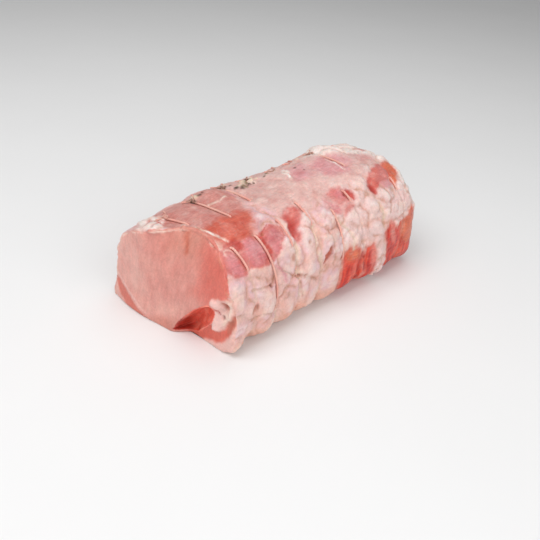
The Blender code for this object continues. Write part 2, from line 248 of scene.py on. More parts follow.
# %% Cut face and cleft
FACE_TOP_SETBACK = 22.0
FACE_TOP_HEIGHT = 65.0
FACE_TOP_POWER = 2.6    # a higher power bends the face back closer to its top
FACE_RIGHT_SETBACK = 4.0
FLAP_SETBACK = 8.0
FACE_CENTRE = np.array((38.0, 26.0))
RIM_ROUNDING = 1.4

CLEFT_FOOT = np.array((49.0, 0.0))
CLEFT_TIP = np.array((15.0, 40.0))
CLEFT_WIDTH = 13.0
CLEFT_DEPTH = 20.0
CLEFT_TIP_DEPTH = 13.5
CLEFT_FLAP_SLOPE = 0.5
CLEFT_NARROWING = 0.55
CLEFT_LIP = 1.2
CLEFT_FLOOR_RISE = 3.0
CLEFT_HOLLOW = 2.6
CLEFT_ROUNDNESS = 0.55
CLEFT_TAPER = 0.45
CLEFT_OUTREACH = 12.0


def cleft_place(y, z):
    """Distance along the cleft from its foot, and across it towards the flap."""
    run = CLEFT_TIP - CLEFT_FOOT
    length = np.hypot(*run)
    along = ((y - CLEFT_FOOT[0]) * run[0] + (z - CLEFT_FOOT[1]) * run[1]) / length
    across = -((y - CLEFT_FOOT[0]) * run[1] - (z - CLEFT_FOOT[1]) * run[0]) / length
    return along / length, across


def face_x(y, z):
    """The cut face without its cleft: slanted back at its top and at the flap."""
    rise = np.clip(z / FACE_TOP_HEIGHT, 0.0, 1.0) ** FACE_TOP_POWER
    across = cleft_place(y, z)[1]
    low = FACE_RIGHT_SETBACK * smooth_step((75.0 - y) / 60.0)
    low = low + FLAP_SETBACK * smooth_step((across - 1.0) / 8.0)
    return low * (1.0 - rise) + FACE_TOP_SETBACK * rise * smooth_step((78.0 - y) / 30.0)


def cleft_depth(along, across):
    """How far the cleft goes in: deepest at its foot, on the side of the eye."""
    return CLEFT_DEPTH + (CLEFT_TIP_DEPTH - CLEFT_DEPTH) * along - CLEFT_FLAP_SLOPE * across


def cleft_ring(turn, inner):
    """The cleft's outline, in front of the face or at its back, as x, y and z."""
    shrink = CLEFT_NARROWING if inner else 1.0
    c = np.copysign(np.abs(np.cos(turn)) ** CLEFT_ROUNDNESS, np.cos(turn))
    s = np.copysign(np.abs(np.sin(turn)) ** CLEFT_ROUNDNESS, np.sin(turn))
    along = 0.46 + 0.56 * shrink * c
    width = CLEFT_WIDTH * np.clip((1.05 - along) / CLEFT_TAPER, 0.05, 1.0)
    across = width * (0.5 + 0.5 * shrink * s)
    across = across - CLEFT_HOLLOW * np.maximum(0.0, -s) * np.sin(pi * np.clip(along, 0.0, 1.0))
    run = CLEFT_TIP - CLEFT_FOOT
    towards_flap = np.array((-run[1], run[0])) / np.hypot(*run)
    flat = CLEFT_FOOT + run * along[:, None] + towards_flap * across[:, None]
    depth = cleft_depth(along, across)
    floor = CLEFT_LIP + (CLEFT_FLOOR_RISE if inner else 0.0)
    x = depth if inner else np.full_like(depth, -CLEFT_OUTREACH)
    return np.stack([x, flat[:, 0], np.maximum(flat[:, 1], floor)], axis=1)


# %% [markdown]
# ## The fine skin
#
# The outside is a grid of rings. They stand close together beside each tie, where the
# meat turns down into its groove, and the points round each ring are closest on the
# top and the right side. Soft fat closes over tight twine, so each tie shows only
# along some stretches. Elsewhere its groove is half closed on the side, and nearly
# smooth on the top, and the twine is sunk under it.

# %% Where the twine shows
# for each tie, stretches in degrees round the section
TWINE_SHOWS = (
    ((-142, -70), (36, 58), (94, 205)),
    ((-136, -62), (-8, 58), (79, 212)),
    ((-142, -80), (37, 62), (88, 198)),
    ((-130, -60), (46, 70), (112, 205)),
    ((-145, -84), (8, 52), (116, 212)),
    ((-140, -66), (50, 62), (120, 206)),
    ((-132, -58), (80, 202)),
    ((-144, -70), (44, 58), (124, 208)),
)
SHOW_FADE = 6.0
SINK = 2.6
SIDE_CLOSURE = 0.42
TOP_CLOSURE = 0.92
TOP_ANGLE = 84.0        # the middle of the closed top, and how far it reaches, in degrees
TOP_REACH = 40.0
# how far soft fat swells beside twine that still shows, for each tie
SHOWN_CLOSURE = (0.16, 0.16, 0.20, 0.24, 0.26, 0.24, 0.18, 0.18)


def shows(number, degrees):
    """How far the twine shows, from 0 under closed fat to 1, at an angle in degrees."""
    degrees = (degrees + 150.0) % 360.0 - 150.0
    shown = np.zeros_like(degrees)
    for start, end in TWINE_SHOWS[number]:
        inside = np.minimum(degrees - start, end - degrees)
        shown = np.maximum(shown, smooth_step(0.5 + inside / SHOW_FADE))
    return shown


def closure(number, angle):
    """How far soft tissue closes over a tie, from 0 in an open groove to 1."""
    on_top = smooth_step(1.6 - np.abs(angle_between(angle, TOP_ANGLE)) / TOP_REACH)
    most = SIDE_CLOSURE + (TOP_CLOSURE - SIDE_CLOSURE) * on_top
    shown = shows(number, np.degrees(angle))
    return most * (1.0 - shown) + SHOWN_CLOSURE[number] * shown


# %% Rings of the outside
AROUND = 320
AROUND_BIAS = 0.28
FINEST_ANGLE = 45.0
RINGS_PER_SPAN = (20, 24, 24, 21, 22, 19, 21, 30, 26)
RIM_STEPS = (0.0, 0.12, 0.35, 0.68, 1.0)
GROOVE_FLOOR = 0.25
FAR_SWELL_SHARE = 0.5   # the last span has swollen fully after this share of it

even = np.linspace(0.0, 2.0 * pi, AROUND, endpoint=False)
around = even - AROUND_BIAS * np.sin(even - radians(FINEST_ANGLE))


def span_ends(span, angle):
    """X at both ends of the span between two ties, or between a tie and an end."""
    if span == 0:
        y, z = skin(np.zeros_like(angle), angle, np.ones_like(angle))
        start = face_x(y, np.maximum(z, 0.0))
    else:
        start = tie_x(span - 1, angle) + GROOVE_HALF_WIDTH
    if span == len(TIES):
        end = np.full_like(angle, ROAST_LENGTH)
    else:
        end = tie_x(span, angle) - GROOVE_HALF_WIDTH
    return start, end


def span_fractions(span):
    """Fractions of a span where its rings stand, closest at its ends."""
    steps = (np.arange(RINGS_PER_SPAN[span]) + 0.5) / RINGS_PER_SPAN[span]
    if span == 0:
        return steps
    rounded = 0.5 - 0.5 * np.cos(pi * steps)
    return 0.5 * steps + 0.5 * rounded


def span_swell(span, fraction):
    """How far the meat has swollen out of its tie, from 0 to 1."""
    if span == 0:
        return np.sqrt(1.0 - fraction**2)
    if span == len(TIES):
        return np.sqrt(1.0 - (1.0 - np.minimum(fraction / FAR_SWELL_SHARE, 1.0)) ** 2)
    return np.sqrt(1.0 - (2.0 * fraction - 1.0) ** 2)


def outside_rings(angle):
    """Every ring of the outside: x, swell and rim inset for each point round it."""
    rings = []
    zero, one = np.zeros_like(angle), np.ones_like(angle)
    closed = [closure(number, angle) for number in range(len(TIES))]
    for span in range(len(TIES) + 1):
        start, end = span_ends(span, angle)
        closed_before = closed[span - 1] if span > 0 else zero
        closed_after = closed[span] if span < len(TIES) else zero
        if span == 0:
            for step in RIM_STEPS:
                inset = RIM_ROUNDING * (1.0 - np.sqrt(1.0 - (1.0 - step) ** 2))
                rings.append((start + RIM_ROUNDING * step, one, inset * one))
            start = start + RIM_ROUNDING
        else:
            rings.append((start, closed_before, zero))
        for fraction in span_fractions(span):
            closed_here = closed_before * (1.0 - fraction) + closed_after * fraction
            swell = 1.0 - (1.0 - span_swell(span, fraction)) * (1.0 - closed_here)
            rings.append((start + (end - start) * fraction, swell, zero))
        if span < len(TIES):
            rings.append((end, closed_after, zero))
            rings.append((tie_x(span, angle), closed_after, GROOVE_FLOOR * (1.0 - closed_after)))
        else:
            rings.append((end, one, zero))
    return rings


rings = outside_rings(around)
ring_x = np.array([ring[0] for ring in rings])
ring_swell = np.array([ring[1] for ring in rings])
ring_inset = np.array([ring[2] for ring in rings])
ring_angle = np.broadcast_to(around, ring_x.shape)
ring_y, ring_z = skin(ring_x, ring_angle, ring_swell)
towards = unit(FACE_CENTRE - np.stack([ring_y, ring_z], axis=-1))
ring_y = ring_y + towards[..., 0] * ring_inset
ring_z = np.maximum(ring_z + towards[..., 1] * ring_inset, 0.0)
outside = np.stack([ring_x, ring_y, ring_z], axis=-1)
print("outside:", outside.shape[0], "rings of", AROUND)

# %% [markdown]
# The two ends and the cleft close the skin. Each cut face is filled with evenly spread
# points joined by Delaunay triangles, which stay the same size all over it. The cleft
# is a loft that starts at a hole in the near face and ends in a small filled floor.

# %% Filling a flat outline with even triangles
FACE_SPACING = 0.95
FAR_SPACING = 1.5
ROW_SHARE = 0.87        # rows of a triangular grid, as a share of its spacing
CLEAR_SHARE = 0.55      # how far the grid keeps from an outline, as a share


def inside_outline(places, outline):
    """Which places lie inside a closed outline."""
    inside = np.zeros(len(places), bool)
    following = np.roll(outline, -1, axis=0)
    for (ax, ay), (bx, by) in zip(outline, following):
        crosses = (ay > places[:, 1]) != (by > places[:, 1])
        if crosses.any():
            inside ^= crosses & (places[:, 0] < ax + (places[:, 1] - ay) * (bx - ax) / (by - ay))
    return inside


def inside_outlines(places, outlines):
    """Which places lie inside the first outline, and in none of the holes after it."""
    return np.logical_xor.reduce([inside_outline(places, outline) for outline in outlines])


def corner_gap(places, corners):
    """Distance to the nearest of many corners."""
    return np.min(np.hypot(places[:, None, 0] - corners[None, :, 0],
                           places[:, None, 1] - corners[None, :, 1]), axis=1)


def fill_points(outlines, spacing):
    """A triangular grid inside an outline and outside its holes, clear of both."""
    low, high = outlines[0].min(axis=0), outlines[0].max(axis=0)
    points = []
    for number, z in enumerate(np.arange(low[1], high[1], spacing * ROW_SHARE)):
        start = low[0] + (0.5 * spacing if number % 2 else 0.0)
        row = np.arange(start, high[0], spacing)
        points.append(np.stack([row, np.full_like(row, z)], axis=1))
    points = np.concatenate(points)
    clear = corner_gap(points, np.concatenate(outlines)) > CLEAR_SHARE * spacing
    return points[inside_outlines(points, outlines) & clear]


def fill_outlines(outlines, spacing):
    """Points that fill an outline round its holes, and triangles. Its corners come first."""
    inner = fill_points(outlines, spacing)
    places = np.concatenate([*outlines, inner])
    edges, first = [], 0
    for outline in outlines:
        count = len(outline)
        edges += [(first + i, first + (i + 1) % count) for i in range(count)]
        first += count
    made = geometry.delaunay_2d_cdt([Vector(place) for place in places], edges, [], 0, 1e-7)
    source = [origins[0] for origins in made[3]]
    triangles = np.array([[source[corner] for corner in face] for face in made[2]])
    return inner, triangles[inside_outlines(places[triangles].mean(axis=1), outlines)]


# %% The cleft's wall
CLEFT_AROUND = 150
CLEFT_RINGS = 30
MOUTH_ROUNDS = 40       # rounds of moving the cleft's mouth onto the face

cleft_turn = np.linspace(0.0, 2.0 * pi, CLEFT_AROUND, endpoint=False)
front_ring = cleft_ring(cleft_turn, False)
inward_run = cleft_ring(cleft_turn, True) - front_ring
reach_in = np.full(CLEFT_AROUND, 0.3)
for _ in range(MOUTH_ROUNDS):
    mouth = front_ring + inward_run * reach_in[:, None]
    miss = face_x(mouth[:, 1], mouth[:, 2]) - mouth[:, 0]
    reach_in = np.clip(reach_in + 0.6 * miss / inward_run[:, 0], 0.0, 0.95)
shares = reach_in + (1.0 - reach_in) * np.linspace(0.0, 1.0, CLEFT_RINGS)[:, None]
cleft_rings = front_ring + inward_run * shares[..., None]
mouth = cleft_rings[0]
print("cleft mouth", np.round(np.ptp(mouth[:, 1:], axis=0), 1), "mm across y and z")

# %% Join outside, faces and cleft into one list of points and faces
OUTSIDE, NEAR_FACE, CLEFT, FAR_FACE = range(4)


def ring_faces(numbers):
    """Quads between rings of numbered points, each ring closed round."""
    here, there = numbers[:-1], numbers[1:]
    corners = [here, np.roll(here, -1, axis=1), np.roll(there, -1, axis=1), there]
    return np.stack(corners, axis=-1).reshape(-1, 4).tolist()


def far_face_x(flat, rim):
    """The far end's gentle dome, from its rim to its middle."""
    centre = rim.mean(axis=0)
    rim_turn = np.arctan2(*(rim - centre).T[::-1])
    order = np.argsort(rim_turn)
    rim_reach = np.hypot(*(rim - centre).T)[order]
    turn = np.arctan2(*(flat - centre).T[::-1])
    reach = np.interp(turn, rim_turn[order], rim_reach, period=2 * pi)
    share = np.hypot(*(flat - centre).T) / reach
    return ROAST_LENGTH + FAR_DOME * (1.0 - np.clip(share, 0.0, 1.0) ** 2)


def add_points(places, kind):
    """Add points of one kind to the skin, and return their numbers."""
    first = len(points)
    points.extend(places.reshape(-1, 3))
    zone.extend([kind] * (len(points) - first))
    return np.arange(first, len(points)).reshape(places.shape[:-1])


def add_filled(rims, spacing, depth_of, kind):
    """Fill the first of some rims of numbered points, round the others."""
    inner, triangles = fill_outlines([np.array(points)[rim][:, 1:] for rim in rims], spacing)
    added = add_points(np.column_stack([depth_of(inner), inner]), kind)
    faces.extend(np.concatenate([*rims, added])[triangles].tolist())


points, zone = [], []
near_rim, far_rim = outside[0][:, 1:], outside[-1][:, 1:]
outside_numbers = add_points(outside, OUTSIDE)
faces = ring_faces(outside_numbers)
cleft_numbers = add_points(cleft_rings, CLEFT)
add_filled([outside_numbers[0], cleft_numbers[0]], FACE_SPACING,
           lambda flat: face_x(*flat.T), NEAR_FACE)
faces += ring_faces(cleft_numbers)
add_filled([cleft_numbers[-1]], FACE_SPACING,
           lambda flat: cleft_depth(*cleft_place(*flat.T)), CLEFT)
add_filled([outside_numbers[-1]], FAR_SPACING,
           lambda flat: far_face_x(flat, far_rim), FAR_FACE)
points, zone = np.array(points), np.array(zone)
print("skin:", len(points), "points,", sum(len(face) - 2 for face in faces), "triangles")

# %% [markdown]
# ## Painting the tissues
#
# Raw pork is a patchwork: pale pink lean, red lean, cream fat and thin membrane. Image
# textures would tie the roast to one picture, so each tissue is an outline of a few
# corners on the unrolled skin. Noise of three sizes bends the outlines, which makes the
# edges ragged as knife work and torn membrane are. A patch may stand proud or lie low.
# Some colours are painted shade in creases, grooves, hollows and the cleft; a few are partly
# painted highlight and painted light.

# %% The tissues' colours
# linear red, green and blue, and the share of fat
TISSUES = {
    "side fat": (0.79, 0.505, 0.455, 1),
    "lavender fat": (0.75, 0.48, 0.505, 1),
    "cream fat": (0.85, 0.64, 0.545, 1),
    "pale fat": (0.81, 0.575, 0.545, 1),
    "white fat": (0.86, 0.74, 0.69, 1),
    "warm fat": (0.79, 0.43, 0.335, 1),
    "block fat": (0.87, 0.56, 0.51, 1),
    "flap fat": (0.79, 0.48, 0.425, 0.9),
    # The next two are painted shade in the creases and cracks between lumps of fat.
    "fat crease shade": (0.62, 0.32, 0.25, 1),
    "thin crease shade": (0.54, 0.262, 0.165, 1),
    "groove cream": (0.74, 0.56, 0.43, 1),
    # Painted shade in the grooves of the ties, on fat.
    "groove fat shade": (0.6, 0.31, 0.24, 0.9),
    "membrane": (0.73, 0.46, 0.42, 0.5),
    "pale membrane": (0.81, 0.56, 0.53, 0.6),
    "tan membrane": (0.69, 0.41, 0.37, 0.3),
    "pink membrane": (0.7, 0.37, 0.345, 0.4),
    "brown lean": (0.605, 0.245, 0.21, 0),
    "salmon lean": (0.62, 0.17, 0.15, 0),
    "mauve lean": (0.65, 0.215, 0.222, 0),
    "pale mauve": (0.67, 0.3, 0.31, 0.3),
    "orange lean": (0.58, 0.11, 0.068, 0),
    "red lean": (0.64, 0.03, 0.01, 0),
    "bright red": (0.7, 0.095, 0.052, 0),
    "pink red": (0.7, 0.175, 0.138, 0),
    "rust lean": (0.67, 0.145, 0.066, 0),
    # Painted shade in pits and hollows.
    "hollow shade": (0.48, 0.13, 0.08, 0),
    "soaked fat": (0.72, 0.38, 0.24, 0.6),
    "rim tan": (0.68, 0.29, 0.18, 0.3),
    # The next two are streak colours of the red lean: partly fibre colour, partly painted highlight
    # and painted shade.
    "orange fibre and highlight": (0.8, 0.125, 0.062, 0),
    "dark fibre and shade": (0.4, 0.01, 0.006, 0),
    "deep red": (0.5, 0.066, 0.052, 0),
    # The next two are painted shade: in pits and deep creases, and in the grooves on the lean.
    "crease": (0.3, 0.1, 0.07, 0.2),
    "groove red shade": (0.47, 0.12, 0.095, 0),
    "face pale": (0.672, 0.286, 0.24, 0),
    "face left": (0.75, 0.375, 0.318, 0),
    "face tan": (0.635, 0.255, 0.2, 0),
    "face red": (0.668, 0.168, 0.13, 0),
    "face streak": (0.56, 0.16, 0.105, 0),
    "face line": (0.8, 0.48, 0.425, 0.5),
    "band red": (0.69, 0.13, 0.085, 0),
    "side band": (0.64, 0.17, 0.125, 0),
    # The next three paint the cleft: its red painted brighter as painted light, painted shade, and
    # pink strands that are partly painted highlight.
    "cleft red": (0.91, 0.175, 0.12, 0),
    "cleft shade": (0.42, 0.04, 0.025, 0),
    "cleft pink": (0.95, 0.34, 0.24, 0.2),
    "stain": (0.075, 0.042, 0.024, 0),
    "olive stain": (0.24, 0.165, 0.09, 0.3),
    "knot cream": (0.76, 0.6, 0.45, 1),
}

# %% The unrolled skin and its bends
ROUND_WAY = 0.87        # millimetres of skin for each degree round the section
SEAM_ANGLE = -150.0     # where the unrolled skin starts, hidden under the left side
SKIN_SCALE = (1.0, ROUND_WAY)
RAGGED_BENDS = ((2.2, 9.0, 1.0), (1.3, 3.8, 3.0), (0.6, 1.7, 4.0))      # reach, size, seed

degrees = np.zeros(len(points))
degrees[zone == OUTSIDE] = np.degrees(ring_angle).ravel()
degrees = (degrees - SEAM_ANGLE) % 360.0 + SEAM_ANGLE
unrolled = np.column_stack([points[:, 0], degrees * ROUND_WAY])
flat = points[:, 1:]
is_outside = zone == OUTSIDE

colour = np.tile(TISSUES["side fat"][:3], (len(points), 1))
fat = np.ones(len(points))
height = np.zeros(len(points))


def bends(size, seed, ways=2):
    """Noise in a few directions at once, to bend places with."""
    return np.column_stack([soft_noise(points, size, seed + 0.31 * way) for way in range(ways)])


def soft_along(size, seed, *shares):
    """Noise whose lumps are drawn out where the share of a direction is small."""
    return soft_noise(points * np.array(shares), size, seed)


ragged = sum(reach * bends(size, seed) for reach, size, seed in RAGGED_BENDS)


# %% Distances to outlines and lines
def line_distance(places, corners):
    """Distance in mm from each place to a line through a few corners."""
    nearest = np.full(len(places), np.inf)
    for start, end in zip(corners, corners[1:]):
        run = end - start
        share = np.clip((places - start) @ run / max(run @ run, 1e-9), 0.0, 1.0)
        nearest = np.minimum(nearest, np.hypot(*(places - start - share[:, None] * run).T))
    return nearest


def patch_mask(places, corners, edge):
    """1 inside a closed outline, falling to 0 over an edge of some width."""
    nearest = line_distance(places, np.vstack([corners, corners[:1]]))
    inward = np.where(inside_outline(places, corners), nearest, -nearest)
    return smooth_step(0.5 + inward / edge)


def line_mask(places, corners, width):
    """1 on a line, falling to 0 beside it."""
    return np.exp(-(line_distance(places, corners) / (0.6 * width)) ** 2)


# %% How tissue is laid
def tint(mask, tissue):
    """Blend only a tissue's colour into the skin."""
    colour[:] += (np.array(TISSUES[tissue][:3]) - colour) * mask[:, None]


def lay(mask, tissue, rise=0.0):
    """Blend a tissue's colour and fat into the skin, and raise or sink it."""
    tint(mask, tissue)
    fat[:] += (TISSUES[tissue][3] - fat) * mask
    height[:] += rise * mask


def vary(amount, red_share=0.3):
    """Lighten or darken the skin by a share, and its red less."""
    colour[:] *= 1.0 + amount[:, None] * np.array((red_share, 1.0, 1.0))


def lay_all(mask_of, table, places, chosen, scale=(1.0, 1.0)):
    """Lay a table of (tissue, rise, width, corners) on the chosen points."""
    for tissue, rise, width, corners in table:
        mask = np.zeros(len(places))
        mask[chosen] = mask_of(places[chosen], np.reshape(corners, (-1, 2)) * scale, width)
        lay(mask, tissue, rise)


# %% [markdown]
# ### The outside
#
# First comes the ground: side fat whose tint drifts between pink and lavender. Then the
# broad membranes of the top, the lean under them, the windows in the fat where muscle
# shows, and last the small scraps and creases.

# %% Ground of the outside
drift = soft_noise(points, 13.0, 5.0)
fine_drift = soft_noise(points, 5.0, 6.0)
lay(is_outside * smooth_step(0.4 + 1.8 * drift + 0.9 * fine_drift) * 0.9, "lavender fat")
warmth = soft_noise(points, 10.0, 7.0) + 0.5 * soft_noise(points, 4.0, 8.0)
lay(is_outside * smooth_step(1.5 * warmth - 0.1) * 0.6, "warm fat")

# tissue, rise in mm, edge width in mm, corners as distances along and degrees round in turn
GROUND_PATCHES = (
    ("warm fat", 0, 14, (2, -60, 4, -32, 30, -24, 60, -20, 108, -26, 112, -60)),
    ("pale fat", 0, 12, (112, 44, 122, 70, 150, 74, 176, 76, 192, 84, 206, 80, 206, 20, 150, 20,
         120, 8, 112, 14)),
    ("membrane", 0, 9, (56, 152, 58, 130, 60, 95, 62, 72, 75, 60, 90, 56, 105, 62, 125, 66, 150, 62,
         175, 80, 200, 84, 206, 152)),
    ("tan membrane", -0.1, 8, (66, 122, 68, 100, 64, 80, 77, 66, 90, 60, 99, 70, 106, 90, 102, 106,
         90, 114, 80, 126)),
    ("lavender fat", 0, 5, (65, 88, 71, 74, 72, 64, 64, 58, 54, 57, 50, 61, 57, 74)),
    ("pale membrane", 0, 9, (150, 122, 160, 96, 176, 90, 186, 82, 206, 84, 206, 130)),
    ("pink membrane", 0, 8, (166, 92, 178, 90, 184, 84, 180, 76, 168, 78)),
    ("pink membrane", 0, 14, (2, 126, 60, 128, 206, 140, 206, 190, 110, 200, 2, 190)),
)
lay_all(patch_mask, GROUND_PATCHES, unrolled + ragged, is_outside, SKIN_SCALE)

# %% Lean and windows of the near half
NEAR_PATCHES = (
    ("brown lean", -0.3, 3, (10, 134, 27, 128, 42, 126, 56, 126, 66, 120, 66, 103, 60, 85, 54, 66,
         44, 64, 32, 66, 22, 74, 14, 88, 11, 106)),
    ("salmon lean", -0.4, 2.2, (18, 58, 28, 62, 38, 60, 46, 58, 54, 58, 62, 59, 68, 56, 68, 46,
         62, 42, 60, 39, 54, 36, 50, 33, 40, 34, 33, 37, 27, 35, 20, 36, 16, 42, 17, 52)),
    ("orange lean", 0.1, 9, (22, 80, 34, 84, 47, 86, 59, 78, 56, 67, 47, 58, 39, 55, 32, 56, 27, 60,
         22, 68)),
    ("deep red", -0.3, 4, (30, 63, 34, 61, 35, 54, 31, 52, 29, 58)),
    ("mauve lean", 0, 3, (20, 54, 27, 54, 28, 45, 28, 39, 25, 36, 19, 40, 19, 48)),
    ("mauve lean", 0, 3, (36, 56, 44, 57, 48, 52, 48, 45, 46, 38, 41, 36, 34, 38, 33, 46)),
    ("mauve lean", 0, 3.4, (54, 52, 61, 56, 65, 53, 66, 47, 61, 43, 56, 38, 53, 42)),
    ("pale mauve", 0.2, 6, (38, 52, 45, 53, 46, 44, 38, 42)),
    ("deep red", -0.2, 3, (49, 56, 53, 54, 53, 42, 50, 36, 48, 44)),
    ("salmon lean", -0.9, 2.6, (73, 60, 79, 64, 87, 66, 90, 61, 85, 53, 79, 48, 75, 38, 72, 37,
         72, 46, 73, 53)),
    ("deep red", -0.5, 3.4, (76, 60, 83, 63, 86, 60, 81, 53, 76, 45, 73, 42, 73, 50)),
    ("pink red", 0.2, 4, (80, 62, 86, 64, 88, 60, 84, 56, 79, 56)),
    ("pale fat", 0.5, 4, (84, 52, 92, 58, 92, 48, 84, 40, 78, 38, 79, 45)),
)
lay_all(patch_mask, NEAR_PATCHES, unrolled + ragged, is_outside, SKIN_SCALE)

# %% Lean and fat of the far half
FAR_HALF_PATCHES = (
    ("pale mauve", 0, 9, (130, 100, 144, 104, 156, 96, 160, 84, 148, 74, 134, 75, 128, 84)),
    ("pale mauve", 0, 9, (116, 106, 128, 106, 126, 90, 120, 84, 109, 86, 109, 96)),
    ("pink membrane", -0.2, 5, (110, 62, 118, 68, 126, 66, 131, 62, 132, 52, 127, 46, 120, 44,
         112, 46, 108, 52)),
    ("salmon lean", -0.4, 4.6, (116, 64, 123, 66, 129, 64, 132, 57, 129, 50, 123, 50, 119, 56)),
    ("mauve lean", -0.2, 4, (120, 62, 126, 64, 129, 60, 126, 54, 122, 55)),
    ("mauve lean", -0.3, 3.6, (111, 58, 116, 55, 120, 49, 116, 46, 111, 49)),
    ("deep red", -1.2, 2.4, (130, 60, 133, 61, 134.5, 57, 134, 51, 131, 50, 130, 54)),
    ("salmon lean", -0.3, 3.4, (122, 46, 127, 49, 129, 46, 125, 42, 119, 42)),
    ("salmon lean", -0.6, 3.4, (151, 57, 158, 64, 168, 69, 178, 73, 182, 69, 176, 61, 172, 56,
         164, 55, 159, 51, 153, 47, 150, 50)),
    ("pink red", 0, 5, (152, 57, 160, 64, 170, 68, 172, 63, 162, 58, 158, 50, 151, 48)),
    ("deep red", -0.6, 4, (150, 54, 154, 56, 157, 52, 155, 48, 150, 48)),
    ("bright red", -0.2, 3, (180, 69, 186, 74, 191, 76, 193.5, 73, 193, 66, 189, 58, 183, 52,
         178, 48, 175, 51, 176, 60)),
    ("salmon lean", 0.2, 4, (163, 58, 174, 66, 180, 70, 179, 58, 172, 52, 163, 52)),
    ("rust lean", 0.1, 6, (183, 68, 188, 74, 193, 74, 193, 65, 188, 56, 182, 51, 178, 50, 180, 58)),
    ("pale mauve", 0.3, 4, (163, 54, 172, 55, 175, 50, 168, 47, 160, 50)),
    ("white fat", 0.3, 3.4, (197, 112, 197, 94, 196, 82, 194.5, 72, 193, 62, 190, 54, 187, 44,
         189, 36, 194, 30, 212, 24, 212, 112)),
    ("white fat", 0.4, 6, (138, 114, 150, 126, 165, 126, 184, 124, 200, 110, 199, 92, 195, 74,
         188, 74, 185, 82, 174, 89, 162, 96, 146, 107)),
    ("pink membrane", 0, 3, (184, 100, 189, 99, 189, 91, 185, 90)),
)
lay_all(patch_mask, FAR_HALF_PATCHES, unrolled + ragged, is_outside, SKIN_SCALE)

# %% Red muscle under the fat's lower edge
# Its upper edge is combed: strips of fat run down between the bundles of its fibres.
FOOT_PATCHES = (
    ("red lean", -1.6, 6.5, (112, -66, 111, -38, 111, 12, 116, 18, 122, 16, 129, 10, 134, -5,
         135, -38, 135, -66)),
    ("rust lean", 0, 6, (113, 14, 119, 17, 128, 10, 130, 2, 122, 4, 116, 2)),
    ("bright red", 0.4, 5, (121, 2, 125, 2, 129, -30, 129, -50, 124, -50, 119, -24)),
    ("red lean", -2, 6, (136, -66, 136, -26, 132, 2, 133, 11, 140, 11, 145, -2, 149, -20,
         149, -66)),
    ("pink red", 0.3, 4, (138, 11, 143, 6, 147, -14, 144, -30, 140, -10)),
    ("pale fat", 1.2, 2.8, (142, 26, 152, 21, 156, 0, 158, -30, 158, -66, 149, -66, 148, -16,
         144, 8)),
    ("red lean", -1.3, 6.2, (159, -66, 157, -2, 152, 18, 158, 22, 165, 17, 172, 19, 179, 20,
         189, 28, 195, 20, 199, 6, 201, -12, 201, -66)),
    ("rust lean", 0.3, 5, (172, 18, 188, 26, 196, 12, 197, -6, 186, -12, 178, -4)),
    ("pink red", 0.2, 4, (160, 22, 165, 16, 168, 2, 163, 4, 158, 14)),
    ("bright red", 0.3, 5, (172, 2, 180, -8, 186, -30, 178, -40, 170, -20)),
)
comb = soft_along(2.4, 35.0, 1.0, 0.15, 0.15)
combed = unrolled + 0.6 * ragged + np.column_stack([np.zeros(len(points)), 2.4 * comb])
soaked_rims = [("soaked fat", 0.0, 9.0, corners) for tissue, _, _, corners in FOOT_PATCHES
               if tissue == "red lean"]
lay_all(patch_mask, soaked_rims, combed, is_outside, SKIN_SCALE)
lay_all(patch_mask, FOOT_PATCHES, combed, is_outside, SKIN_SCALE)

# %% Scraps and hidden sides
SCRAPS = (
    ("white fat", 1.3, 2.2, (2, 106, 9, 105, 17, 110, 22, 118, 21, 131, 12, 132, 3, 122)),
    ("cream fat", 0.9, 1.6, (87, 110, 91, 116, 93, 112, 90, 107)),
    ("white fat", 1.2, 1.4, (115, 108, 112, 99, 108, 90, 106, 92, 109, 101, 112, 109)),
    ("side fat", 0.5, 2, (16, 92, 19, 98, 24, 100, 23, 95, 19, 90)),
    # A hole with painted shade.
    ("hollow shade", -1.8, 1.8, (92, 12, 92, 20, 99, 26, 101, 24, 97, 18, 94, 13)),
    ("white fat", 0.3, 2, (201, 30, 201, -66, 212, -66, 212, 30)),
    ("mauve lean", -0.5, 2.6, (18, 152, 40, 164, 62, 152, 62, 136, 40, 134)),
    ("salmon lean", -0.5, 2.6, (82, 172, 104, 178, 108, 150, 96, 140, 80, 152)),
    ("pink red", -0.6, 3.4, (130, 186, 146, 192, 150, 160, 138, 150, 128, 164)),
    ("salmon lean", -0.6, 3.4, (160, 206, 174, 208, 178, 180, 162, 176)),
    ("pale mauve", -0.3, 6, (22, -84, 92, -78, 96, -122, 30, -134)),
    ("red lean", -0.3, 4, (118, -76, 166, -72, 176, -110, 120, -126)),
)
